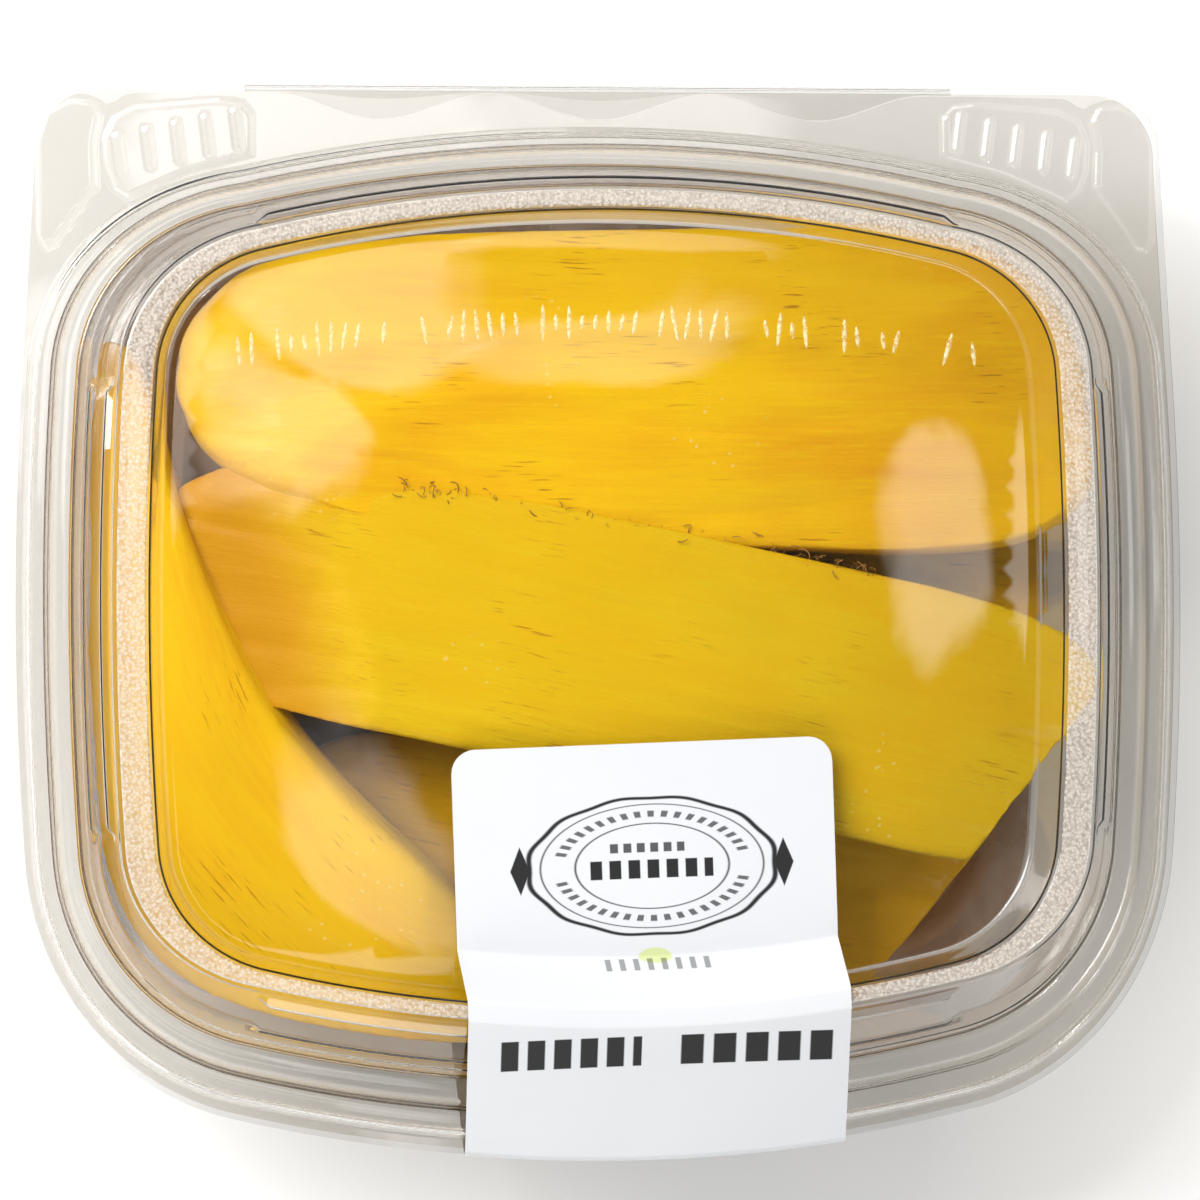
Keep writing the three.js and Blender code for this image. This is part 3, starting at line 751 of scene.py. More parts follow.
def filled(outer, hole=None, pitch=1.0, corner_pitch=None):
    """Flat points and triangles that fill a loop, less a hole. The loops' points come first."""
    loops = [outer] if hole is None else [outer, hole]
    points = np.concatenate([*loops, *grids_within(outer, hole, pitch, corner_pitch)])
    edges, first = [], 0
    for loop in loops:
        edges += [(first + i, first + (i + 1) % len(loop)) for i in range(len(loop))]
        first += len(loop)
    flat = [Vector(point) for point in points]
    made, _, faces, _, _, _ = geometry.delaunay_2d_cdt(flat, edges, [], 0, 1e-6)
    assert len(made) == len(points), "the outline crosses itself"
    triangles = np.array(faces)
    centres = points[triangles].mean(1)
    keep = inside(centres, outer)
    if hole is not None:
        keep &= ~inside(centres, hole)
    triangles = triangles[keep]
    a, b, c = (points[triangles[:, i]] for i in range(3))
    area = (b - a)[:, 0] * (c - a)[:, 1] - (b - a)[:, 1] * (c - a)[:, 0]
    triangles[area < 0] = triangles[area < 0][:, ::-1]
    return points, triangles


square = np.array([(0, 0), (10, 0), (10, 10), (0, 10)], float)
print("a square of 10 mm is filled with", len(filled(square)[1]), "triangles")

# %% [markdown]
# The tub and the lid are each one formed sheet: a middle, a wall and a flange. Such a sheet could
# be a surface with a Solidify modifier. Both its faces are laid out here instead, because the
# wall's profile can then be moved by the thickness with true corners, and the two faces close
# round the flange's edge into one skin without gaps.


# %% A formed sheet
def formed_sheet(path, middle_height, flange, relief, pitch):
    """A formed sheet: a middle, a wall of rings and a flange, each with its lower face."""
    skin = Skin()
    middle = filled(rings_of(path)[0][:, :2], pitch=pitch["middle"])
    hole = rings_of(path)[-1][:, :2]
    rim = filled(flange, hole, pitch=pitch["flange"], corner_pitch=pitch.get("corner"))
    flange_z = path[0, -1, 1]
    edges = []
    for face, drop in ((path, 0.0), (moved_left(path, -SHEET), SHEET)):
        rings = [skin.add(ring) for ring in rings_of(face)]
        for (xy, triangles), height in (
            (middle, middle_height(middle[0])),
            (rim, flange_z + relief(rim[0])),
        ):
            ids = skin.add(np.column_stack([xy, height - drop]))
            skin.faces += (ids[triangles] if drop == 0 else ids[triangles][:, ::-1]).tolist()
        edges.append(ids[: len(flange)])
        for a, b in zip(rings, rings[1:]):
            skin.band(*((b, a) if drop == 0 else (a, b)))
    skin.band(edges[1], edges[0])
    return skin


print("sheet thickness in mm:", SHEET)

# %% [markdown]
# The lid's flange is cut with rounded corner lobes, a notch, a tab beside the hinge and scallops
# behind. Its right half is laid out and mirrored, and its front edge is the window's outline,
# moved out. The tub's flange has the same front edge, a little further in.

# %% Flange outlines
EAR = {"x": 73.4, "y": 65, "radius": 6.6}
TAB = {"x": 65.4, "y": 68, "radius": 3.7}
NOTCH = (69.4, 70.2)
TUB_INSET = 0.8
TUB_CORNER = 9
REAR_STEPS = 192
SCALLOP_FREE = 54
TUB_REAR = {"half_width": 60, "steps": 40}
FRONT_BELOW = 0.09


def arc(x, y, radius, start, stop, steps):
    angles = np.radians(np.linspace(start, stop, steps + 1))
    return np.column_stack([x + radius * np.cos(angles), y + radius * np.sin(angles)])


def flange_front(inset):
    """The flange's edge down the left side, along the front and up the right side."""
    low = NORMALS[:, 1] < FRONT_BELOW
    reach = FLANGE_OUT["side"] * (1 - END_SHARE) + FLANGE_OUT["front"] * END_SHARE - inset
    edge = (OUTLINE + NORMALS * reach[:, None])[low]
    left, right = edge[edge[:, 0] < 0], edge[edge[:, 0] >= 0]
    return np.concatenate([left, right[right[:, 1] < 0], right[right[:, 1] >= 0]])


def lid_rear(x):
    wave = np.where(
        np.abs(x) < SCALLOP["reach"], 0.5 + 0.5 * np.cos(2 * np.pi * x / SCALLOP["pitch"]), 0
    )
    return HINGE_Y - STRIP_LEAST - GAP - SCALLOP["depth"] * wave


def mirrored(points):
    return (points * (-1, 1))[::-1]


rear_xs = STRIP_HALF_LENGTH * (1 - 2 * np.arange(REAR_STEPS + 1) / REAR_STEPS)


def lid_outline():
    right_rear = np.concatenate(
        [
            arc(EAR["x"], EAR["y"], EAR["radius"], 0, 120, 24),
            [NOTCH],
            arc(TAB["x"], TAB["y"], TAB["radius"], 45, 85, 8),
            [(SCALLOP_FREE, HINGE_Y - STRIP_LEAST - GAP)],
        ]
    )
    rear = np.column_stack([rear_xs, lid_rear(rear_xs)])
    return np.concatenate([flange_front(0), right_rear, rear, mirrored(right_rear)])


def tub_outline():
    side_x = EAR["x"] + EAR["radius"] - TUB_INSET
    rear_y = HINGE_Y - 2 * GAP - SHEET
    right_rear = arc(side_x - TUB_CORNER, rear_y - TUB_CORNER, TUB_CORNER, 0, 90, 24)
    xs = np.linspace(TUB_REAR["half_width"], -TUB_REAR["half_width"], TUB_REAR["steps"] + 1)
    rear = np.column_stack([xs, np.full(len(xs), rear_y)])
    return np.concatenate([flange_front(TUB_INSET), right_rear, rear, mirrored(right_rear)])


print("lid outline points:", len(lid_outline()), "tub outline points:", len(tub_outline()))

# %% [markdown]
# Two pads are pressed up on each rear corner of the lid, one of them with a row of grip ribs,
# where the thumbs pull it open. They are real relief, not a bump in the material, because light
# that passes through clear sheet shows every slope of it. Each is a height over the flat flange:
# the pads rise with the depth inside their outline, the ribs with the distance from a line.

# %% Corner relief
PAD_HEIGHT = 0.4
LOBE_PAD = [
    (70.9, 58.8), (76.6, 50.8), (78, 50.2), (79, 51.6), (79.1, 65.2),
    (77.8, 68.8), (74.4, 70.7), (71.4, 70.4), (70.4, 68.6), (71.1, 64.4),
]
HINGE_PAD = [
    (49, 63.4), (58, 61), (66.4, 57.4), (68.4, 58.6), (69.6, 61.8), (69.7, 65.6),
    (68.4, 68.4), (65.4, 69.9), (53.8, 70.9), (50.4, 70.5), (49, 69),
]
PAD_EDGE = (-0.3, 0.5)
GRIP_RIB = {
    "width": 0.75, "length": 5.0, "height": 0.4, "first": 51.2, "pitch": 4.1,
    "count": 5, "y": 66.8, "fall": 0.9, "lean": 0.12,
}


def depth_inside(points, loop):
    """How far points lie inside a loop's edges, negative outside."""
    loop = np.array(loop, float)
    a, leg = loop, np.roll(loop, -1, 0) - loop
    to_point = points[:, None] - a[None]
    share = np.clip((to_point * leg).sum(2) / (leg**2).sum(1), 0, 1)
    gap = np.linalg.norm(to_point - share[..., None] * leg, axis=2).min(1)
    return np.where(inside(points, loop), gap, -gap)


def eased(value, low, high):
    t = np.clip((value - low) / (high - low), 0, 1)
    return t * t * (3 - 2 * t)


def corner_relief(points):
    """How far the two pads and the ribs stand above the lid's flange."""
    right = np.column_stack([np.abs(points[:, 0]), points[:, 1]])
    height = np.zeros(len(points))
    for pad in (LOBE_PAD, HINGE_PAD):
        height = np.maximum(height, PAD_HEIGHT * eased(depth_inside(right, pad), *PAD_EDGE))
    rib, half = GRIP_RIB, GRIP_RIB["length"] / 2
    lean = np.array([math.sin(rib["lean"]), math.cos(rib["lean"])])
    for i in range(rib["count"]):
        gap = right - (rib["first"] + rib["pitch"] * i, rib["y"] - rib["fall"] * i)
        along = np.clip(gap @ lean, -half, half)
        off = np.linalg.norm(gap - along[:, None] * lean, axis=1)
        height += rib["height"] * eased(off, rib["width"], 0.1)
    return height


print("relief in mm: pads", PAD_HEIGHT, "and", GRIP_RIB["count"], "ribs", GRIP_RIB["height"])

# %% [markdown]
# The tub has a lifted floor on a foot ring, a wall that leans out, and a rim with a hollow bead,
# over which the lid snaps. One stack of rings makes all of its wall, so that it is a single
# closed sheet, as the real one is.

# %% The tub
tub_path = divided(rounded(profile([*TUB_WALL, *RIM]), 0.7), 2.5)
tub = formed_sheet(
    tub_path,
    middle_height=lambda xy: np.full(len(xy), FLOOR_LIFT + SHEET),
    flange=tub_outline(),
    relief=lambda xy: np.zeros(len(xy)),
    pitch={"middle": 4.0, "flange": 2.0},
).piece("tub_shell", tub_plastic)
# The tub's floor, up to a small height, gets the film of painted shade.
tub.data.materials.append(floor_shade_plastic)
for face in tub.data.polygons:
    face.material_index = int(face.center.z / MM < FLOOR_SHADE_UP_TO)

# %% [markdown]
# The lid's window is slightly crowned and has buckled a little, as thin sheet does. That is what
# makes its reflections wander. The crown follows the outline, and each buckle is a low round
# swell at a place, with a width and a height.

# %% The window
BUCKLES = [
    (-30, 28, 22, 0.1), (34, 10, 18, -0.05), (-34, -20, 20, -0.08), (6, 34, 18, 0.06),
    (0, 0, 26, 0.06), (30, -28, 20, 0.06),
]
BUCKLED_WITHIN = (0.96, 0.7)


def window_height(xy):
    """The window's height: a low crown with a few buckles that die out at its edge."""
    scale = depth_scale(xy)
    crown = WINDOW_CROWN * np.clip(1 - scale**2, 0, 1)
    buckle = sum(
        high * np.exp(-((xy[:, 0] - x) ** 2 + (xy[:, 1] - y) ** 2) / wide**2)
        for x, y, wide, high in BUCKLES
    )
    return WINDOW_Z + crown + buckle * eased(scale, *BUCKLED_WITHIN)


def depth_scale(xy):
    """0 in the middle of the window and 1 at its edge, along rays from the middle."""
    ring = OUTLINE - 2 * NORMALS
    ring_angles = np.arctan2(ring[:, 1], ring[:, 0])
    order = np.argsort(ring_angles)
    ring_angles, reach = ring_angles[order], np.hypot(ring[:, 0], ring[:, 1])[order]
    angles = np.arctan2(xy[:, 1], xy[:, 0])
    edge = np.interp(angles, ring_angles, reach, period=2 * np.pi)
    return np.hypot(xy[:, 0], xy[:, 1]) / edge


print("window's middle at", round(window_height(np.zeros((1, 2)))[0], 2), "mm")

# %% [markdown]
# Round the window stands the stacking ring. Outside it, a snap bar is pressed out along the
# middle of each side, and the rim grips the tub's bead, so it is the tub's rim moved out by the
# sheet and the gap. The ring's flat top gets the frosted material.


# %% The lid
def with_snap_bars(path, ring_rows):
    """Presses a bar out of the lid's outer wall along the middle of each side."""
    ring, wall = path[:, :ring_rows], path[:, ring_rows:]
    z = wall[0, :, 1]
    top, bottom, slope = SNAP_BAR["top"], SNAP_BAR["bottom"], SNAP_BAR["slope"]
    levels = np.array(sorted({*z, top, top - slope, bottom + slope, bottom}, reverse=True))
    d = np.array([np.interp(levels, z[::-1], row[::-1]) for row in wall[..., 0]])
    on_side = np.abs(NORMALS[:, 0]) > np.abs(NORMALS[:, 1])
    travel = np.where(on_side, np.abs(OUTLINE[:, 1]), np.abs(OUTLINE[:, 0]))
    reach = np.where(on_side, SNAP_BAR["side_reach"], SNAP_BAR["end_reach"])
    on_bar = (levels < top) & (levels > bottom)
    d += SNAP_BAR["out"] * eased(reach - travel, -slope, slope)[:, None] * on_bar
    wall = np.stack([d, np.broadcast_to(levels, d.shape)], 2)
    return np.concatenate([ring, wall], 1)


RING_ROWS = 6
lid_wall = with_snap_bars(profile(LID_WALL), RING_ROWS)
lid_rows = np.concatenate([lid_wall, moved_left(profile(RIM), SHEET + GAP)], 1)
lid_path = divided(rounded(lid_rows, 0.65), 1.5)
lid = formed_sheet(
    lid_path,
    middle_height=window_height,
    flange=lid_outline(),
    relief=corner_relief,
    pitch={"middle": 2.2, "flange": 1.6, "corner": 0.36},
).piece("lid_shell", lid_plastic)
lid.data.materials.append(ring_plastic)
for face in lid.data.polygons:
    on_ring = face.center.z > RING_FACE_FROM * MM
    face.material_index = int(on_ring and abs(face.normal.z) > 0.9)

# %% [markdown]
# A strip of sheet joins the lid's scalloped rear edge to the hinge fold. It is torn off to open
# the pack. It could be a flat shape that is bent, but columns of points that run from the
# scallops back and down round the fold give it both its edges at once. The label is made in the
# same way, so the function that closes a thin sheet is shared.


# %% The tear strip
FOLD_RADIUS = 0.9
FOLD_DROP = 1.2
FOLD_ANGLES = np.radians([15, 30, 45, 60, 75, 90])


def sheet_from_columns(face, other_face, name, material, sharp=40, uv=None):
    """A closed thin sheet from columns of [x, y, z] rows and those of its other face."""
    skin = Skin()
    top = skin.add(face).reshape(face.shape[:2])
    bottom = skin.add(other_face).reshape(face.shape[:2])
    for ids, flip in ((top, False), (bottom, True)):
        a, b, c, d = ids[:-1, :-1], ids[:-1, 1:], ids[1:, 1:], ids[1:, :-1]
        skin.quads(*((d, c, b, a) if flip else (a, b, c, d)))

    def rim(ids):
        return np.concatenate([ids[:, 0], ids[-1, 1:-1], ids[::-1, -1], ids[0, -2:0:-1]])

    skin.band(rim(top), rim(bottom))
    doubled = None if uv is None else np.concatenate([uv.reshape(-1, 2)] * 2)
    return skin.piece(name, material, sharp, doubled)


def tear_strip():
    last_y, last_z = HINGE_Y - SHEET / 2, LID_FLANGE_Z - FOLD_DROP
    fold_y = last_y - FOLD_RADIUS
    bend = [
        (fold_y + FOLD_RADIUS * math.sin(a), LID_FLANGE_Z - FOLD_RADIUS * (1 - math.cos(a)))
        for a in FOLD_ANGLES
    ]
    columns = []
    for front in lid_rear(rear_xs) + GAP * 0.6:
        flat = [(y, LID_FLANGE_Z) for y in np.linspace(front, fold_y, 4)]
        columns.append([*flat, *bend, (last_y, last_z)])
    rows = np.array(columns)
    inner = moved_left(rows, -SHEET * 0.8)
    inner[..., 1] = np.maximum(inner[..., 1], last_z)
    xs = rear_xs[:, None, None]
    with_x = [
        np.concatenate([np.broadcast_to(xs, (*face.shape[:2], 1)), face], 2)
        for face in (rows, inner)
    ]
    return sheet_from_columns(*with_x, "tear_strip_fine", strip_plastic)


strip = tear_strip()

# %% [markdown]
# The label is white paper, stuck a little askew on the window. It bridges the ring and the rim
# and is folded down the front of the tub to its wall. Its print is a material that reads the
# label's own flat millimetres, across and down, so that it bends with the paper: an oval badge
# with a lobed frame, a small leaf-green mark, and rows of plain blocks. Each part of the print
# is a mask between 0 and 1, and the ink goes where the largest of them says.

# %% The label's paper
LABEL = {
    "half_width": 27, "middle_x": 5.3, "top_y": -18.9, "skew": 0.033,
    "thickness": 0.25, "lift": 0.3, "last_on_window": -5, "corner": 3.4,
}
LABEL_UNIT = 100.0
INK = (0.006, 0.006, 0.007)
PAPER_SHADES = (0.62, 0.63, 0.655), (0.67, 0.68, 0.7)
LEAF = {"x": 0.9, "y": 30.0, "half_width": 2.6, "half_height": 1.5, "green": (0.5, 0.6, 0.06)}
BADGE = {
    "x": 0.9, "y": 17.2, "half_width": 17.6, "half_height": 9.6,
    "lobes": 12.0, "dashes": 44.0, "diamond": (1.1, 1.5, 3.6),
}
BLOCK_ROWS = [
    {"left": -5.4, "right": 5.6, "y": 14.6, "height": 1.3, "pitch": 1.9, "fill": 0.6, "dark": 0.9},
    {"left": -8.4, "right": 9.6, "y": 17.6, "height": 2.6, "pitch": 2.7, "fill": 0.62, "dark": 1.0},
    {"left": -7.0, "right": 9.2, "y": 31.6, "height": 2.4, "pitch": 2.0, "fill": 0.4, "dark": 0.6},
    {"left": -23.0, "right": -2.6, "y": 46.4, "height": 4.6, "pitch": 3.7, "fill": 0.66, "dark": 1},
    {"left": 2.2, "right": 25.4, "y": 46.4, "height": 4.6, "pitch": 4.6, "fill": 0.7, "dark": 1},
]


def line(bench, value, centre, half, soft=0.08):
    """1 where a value is within a half width of a centre, with soft edges."""
    return bench.eased(abs(value - centre), half + soft, half - soft)


def largest(bench, masks):
    result = masks[0]
    for mask in masks[1:]:
        result = bench.maths("MAXIMUM", result, mask)
    return result


def badge(bench, across, down):
    """Masks of the badge: a lobed frame, two thin ovals, dashes and a diamond on each side."""
    x, y = across - BADGE["x"], down - BADGE["y"]
    share_x, share_y = x / BADGE["half_width"], y / BADGE["half_height"]
    angle = bench.maths("ARCTAN2", share_y, share_x)
    radius = (share_x**2.0 + share_y**2.0) ** 0.5
    lobed = radius + bench.maths("COSINE", angle * BADGE["lobes"]) * 0.012
    beat = bench.eased(bench.maths("COSINE", angle * BADGE["dashes"]), -0.1, 0.25)
    dashes = line(bench, radius, 0.76, 0.045, 0.012) * beat * bench.eased(abs(y), 1.2, 1.7)
    masks = [
        line(bench, lobed, 1.0, 0.022, 0.012),
        line(bench, radius, 0.9, 0.007, 0.01),
        line(bench, radius, 0.62, 0.008, 0.01),
        dashes * 0.85,
    ]
    outside, wide, high = BADGE["diamond"]
    for side in (-1, 1):
        diamond = abs(x - side * (BADGE["half_width"] + outside)) / wide + abs(y) / high
        masks.append(bench.eased(diamond, 1.0, 0.88))
    return masks


def block_row(bench, across, down, row):
    """The mask of a row of upright blocks."""
    half_pitch, empty = row["pitch"] / 2, 1 - row["fill"]
    stroke = bench.maths("PINGPONG", across - row["left"], half_pitch) / half_pitch
    begun = bench.eased(across, row["left"], row["left"] + 0.1)
    unended = bench.eased(across, row["right"], row["right"] - 0.1)
    blocks = bench.eased(stroke, empty - 0.06, empty + 0.06)
    return blocks * line(bench, down, row["y"], row["height"] / 2) * begun * unended * row["dark"]


def label_paper():
    material, bench, place = new_material("label_paper")
    where = bench.out(bench.add("ShaderNodeUVMap", {"uv_map": "print"}))
    across, down, _ = bench.split(bench.scaled(where, LABEL_UNIT))
    fibre = bench.mottle(place, 1400, 3, 0.7)
    paper = bench.colour(bench.mottle(place, 45, 2), *PAPER_SHADES)
    leaf_x, leaf_y = (across - LEAF["x"]) / LEAF["half_width"], (down - LEAF["y"]) / LEAF["half_height"]
    leaf = bench.eased(leaf_x**2.0 + leaf_y**2.0, 1.0, 0.7)
    paper = bench.colour(leaf * 0.6, paper, LEAF["green"])
    rows = [block_row(bench, across, down, row) for row in BLOCK_ROWS]
    mask = largest(bench, [*badge(bench, across, down), *rows])
    shader = bench.shader(
        "Principled",
        Base_Color=bench.colour(mask, paper, INK),
        Roughness=0.48 + fibre * 0.12,
        Normal=bench.bump(fibre, 0.00004, 0.5),
    )
    finish_material(bench, shader)
    return material


paper = label_paper()
print("label paper nodes:", len(paper.node_tree.nodes))

# %% [markdown]
# The paper touches the window, the ring's top and the flange's edge, and hangs free between
# them. So its middle line is a path over those places, worked out anew at each of 61 columns
# across its width, because the window's front edge is bowed. The columns at its sides start
# lower, which rounds the top corners. How far along the path a point lies is its place on the
# flat label.

# %% The label's sheet
LABEL_COLUMNS = 61
WINDOW_ROWS = 24
WALL_PLACES = [(9, 16), (7.6, 10)]


def front_place(x, d):
    """Where, at some x, a place lies d outside the window's front edge."""
    radius = WINDOW["end_bow"] + d
    return WINDOW["end_bow"] - WINDOW["half_depth"] - np.sqrt(radius**2 - x**2)


def front_distance(x, y):
    """How far a place lies outside the window's front edge."""
    return np.hypot(x, y - (WINDOW["end_bow"] - WINDOW["half_depth"])) - WINDOW["end_bow"]


def label_sheet():
    lift, edge = LABEL["lift"], FLANGE_OUT["front"]
    beyond = [
        (1.6, RING_Z + lift),
        (4.3, RING_Z + lift),
        (edge - 0.3, LID_FLANGE_Z + 0.35),
        (edge + 0.15, LID_FLANGE_Z - 0.1),
        (edge + 0.15, TUB_FLANGE_Z - SHEET - 0.2),
        *WALL_PLACES,
    ]
    half, corner = LABEL["half_width"], LABEL["corner"]
    spread = np.linspace(-1, 1, LABEL_COLUMNS)
    offsets = half * np.sign(spread) * (1 - (1 - np.abs(spread)) ** 1.6)
    columns, places = [], []
    for offset in offsets:
        into_corner = max(0.0, abs(offset) - (half - corner))
        cut = corner - math.sqrt(max(corner**2 - into_corner**2, 0.0))
        x = LABEL["middle_x"] + offset
        start = front_distance(x, LABEL["top_y"] + LABEL["skew"] * offset) + cut
        window_d = np.linspace(start, LABEL["last_on_window"], WINDOW_ROWS)
        window_xy = np.column_stack([np.full(WINDOW_ROWS, x), front_place(x, window_d)])
        window_z = window_height(window_xy) + lift * 0.6
        rows = np.concatenate([np.column_stack([window_d, window_z]), beyond])[None]
        rows = divided(rounded(rows, 0.9, 4), 3.0)[0]
        columns.append(rows)
        legs = np.linalg.norm(np.diff(rows, axis=0), axis=1)
        along = np.concatenate([[0], np.cumsum(legs)])
        places.append(np.column_stack([np.full(len(rows), offset), along + cut]))
    assert len({len(rows) for rows in columns}) == 1, "the label's columns differ"
    inner = np.stack(columns)
    outer = moved_left(inner, LABEL["thickness"])
    uv = np.stack(places)

    def placed(path):
        x = LABEL["middle_x"] + offsets[:, None] + LABEL["skew"] * uv[..., 1]
        straight_x = (LABEL["middle_x"] + offsets)[:, None]
        return np.stack([x, front_place(straight_x, path[..., 0]), path[..., 1]], 2)

    faces, flat_places = (placed(outer), placed(inner)), uv / LABEL_UNIT
    print("label laid flat:", 2 * half, "by", round(uv[..., 1].max(), 1), "mm")
    return sheet_from_columns(*faces, "label_sheet", paper, 60, flat_places)


label = label_sheet()

# %% [markdown]
# The slices, the strokes on the window and the husk fibres are made by Geometry Nodes trees. Each
# tree is built here from sums, as the materials are. It has named inputs, and ends by making its
# instances real and giving them their material. Then its result is worked into a plain mesh.


# %% Trees
FLOAT, WHOLE, STUFF = "NodeSocketFloat", "NodeSocketInt", "NodeSocketMaterial"


def new_tree(name, inputs):
    """A Geometry Nodes tree with named inputs, its bench and the inputs as values."""
    tree = bpy.data.node_groups.new(name, "GeometryNodeTree")
    tree.interface.new_socket("Geometry", in_out="INPUT", socket_type="NodeSocketGeometry")
    for title, (kind, default) in inputs.items():
        socket = tree.interface.new_socket(title, in_out="INPUT", socket_type=kind)
        if default is not None:
            socket.default_value = default
    tree.interface.new_socket("Geometry", in_out="OUTPUT", socket_type="NodeSocketGeometry")
    bench = Bench(tree)
    group = bench.add("NodeGroupInput")
    given = {title: bench.out(group, title) for title in ["Geometry", *inputs]}
    return tree, bench, given


def finish_tree(bench, mesh, material):
    real = bench.out(bench.add("GeometryNodeRealizeInstances", (), {"Geometry": mesh}))
    dressed = bench.add("GeometryNodeSetMaterial", (), {"Geometry": real, "Material": material})
    bench.add("NodeGroupOutput", (), {"Geometry": bench.out(dressed)})


def worked(obj, tree, values):
    """The object with a tree's result worked into its mesh. Inputs are set by identifier."""
    modifier = obj.modifiers.new(tree.name, "NODES")
    modifier.node_group = tree
    for item in tree.interface.items_tree:
        if item.in_out == "INPUT" and item.name in values:
            modifier[item.identifier] = values[item.name]
    return work_in(obj)


def work_in(obj):
    """Turns the object's modifiers into its plain mesh."""
    graph = bpy.context.evaluated_depsgraph_get()
    mesh = bpy.data.meshes.new_from_object(obj.evaluated_get(graph))
    obj.modifiers.clear()
    obj.data = mesh
    return obj


def plain_object(name, points, edges=(), faces=()):
    return linked(name, placed_mesh(name, points, edges, faces))


def piece_of(obj, name, material, sharp):
    """The piece that a working object's mesh makes. The object itself is removed."""
    mesh = obj.data
    bpy.data.objects.remove(obj)
    return as_piece(name, mesh, material, sharp)


print("kinds of input:", FLOAT, WHOLE, STUFF)

# %% [markdown]
# Each slice is a spear of fruit, swept along its own spine. A section has a flat cut side and a
# rounder side that was under the skin, and the ends close by one rule. Curve to Mesh could sweep
# one section, but here the section changes and closes on the way. So a grid is laid round the
# spine, station by station, and its seam is merged.


# %% The tree that sweeps a spear
SECTION_POWER = {"under": 0.8, "upper": 0.45}
SEAM = 0.02 * MM


def spear_tree():
    tree, bench, given = new_tree(
        "spear",
        {
            "Width Start": (FLOAT, 0.03),
            "Width End": (FLOAT, 0.03),
            "Flat": (FLOAT, 0.005),
            "Round": (FLOAT, 0.01),
            "Roll Start": (FLOAT, 0.0),
            "Roll End": (FLOAT, 0.0),
            "Blunt Start": (FLOAT, 4.0),
            "Blunt End": (FLOAT, 4.0),
            "Grow": (FLOAT, 0.0),
            "Stations": (WHOLE, 90),
            "Around": (WHOLE, 97),
            "Material": (STUFF, None),
        },
    )
    spine = bench.out(bench.add("GeometryNodeMeshToCurve", (), {"Mesh": given["Geometry"]}))
    sizes = {"Vertices X": given["Stations"], "Vertices Y": given["Around"], "Size X": 1.0}
    grid = bench.out(bench.add("GeometryNodeMeshGrid", (), {**sizes, "Size Y": 1.0}))
    u, v, _ = bench.split(bench.out(bench.add("GeometryNodeInputPosition")))
    t = 0.5 - 0.5 * bench.maths("COSINE", (u + 0.5) * math.pi)
    from_end = abs(2 * t - 1)
    late = t > 0.5

    def between(first, last, share):
        return first + (last - first) * share

    blunt = between(given["Blunt Start"], given["Blunt End"], late)
    size = bench.maths("MAXIMUM", 1 - from_end**blunt, 0.0) ** 0.5
    at = {"Curves": spine, "Factor": t}
    sample = bench.add("GeometryNodeSampleCurve", {"mode": "FACTOR"}, at)
    centre, tangent = bench.out(sample, "Position"), bench.out(sample, "Tangent")
    side = bench.vector("NORMALIZE", bench.vector("CROSS_PRODUCT", (0, 0, 1), tangent))
    lift = bench.vector("NORMALIZE", bench.vector("CROSS_PRODUCT", tangent, side))
    roll = between(given["Roll Start"], given["Roll End"], t)
    cosine, sine = bench.maths("COSINE", roll), bench.maths("SINE", roll)
    across = bench.vector("ADD", bench.scaled(side, cosine), bench.scaled(lift, sine))
    out = bench.vector("SUBTRACT", bench.scaled(lift, cosine), bench.scaled(side, sine))
    angle = (v + 0.5) * (2 * math.pi)
    c, s = bench.maths("COSINE", angle), bench.maths("SINE", angle)
    upper = s > 0.0
    power = between(SECTION_POWER["under"], SECTION_POWER["upper"], upper)
    width = between(given["Width Start"], given["Width End"], t)
    half_width = (0.5 * width + given["Grow"]) * size
    reach = (between(given["Round"], given["Flat"], upper) + given["Grow"]) * size
    go_across = half_width * bench.maths("SIGN", c) * abs(c) ** power
    go_out = reach * bench.maths("SIGN", s) * abs(s) ** power
    spot = bench.vector("ADD", bench.scaled(across, go_across), bench.scaled(out, go_out))
    spot = bench.vector("ADD", centre, spot)
    laid = bench.add("GeometryNodeSetPosition", (), {"Geometry": grid, "Position": spot})
    merge = {"Geometry": bench.out(laid), "Distance": SEAM}
    shut = bench.out(bench.add("GeometryNodeMergeByDistance", (), merge))
    finish_tree(bench, shut, given["Material"])
    return tree


SPEAR = spear_tree()
print("spear tree nodes:", len(SPEAR.nodes))

# %% [markdown]
# The slices lie as in the photograph, from the top of the pile down. Each later one gives way
# where an earlier one presses on it. A knife cut is a point and a direction: the plane there
# takes off what lies beyond. ROOM is the space inside the shut pack, in rows like those of the
# walls, so that no slice can reach into the sheet.

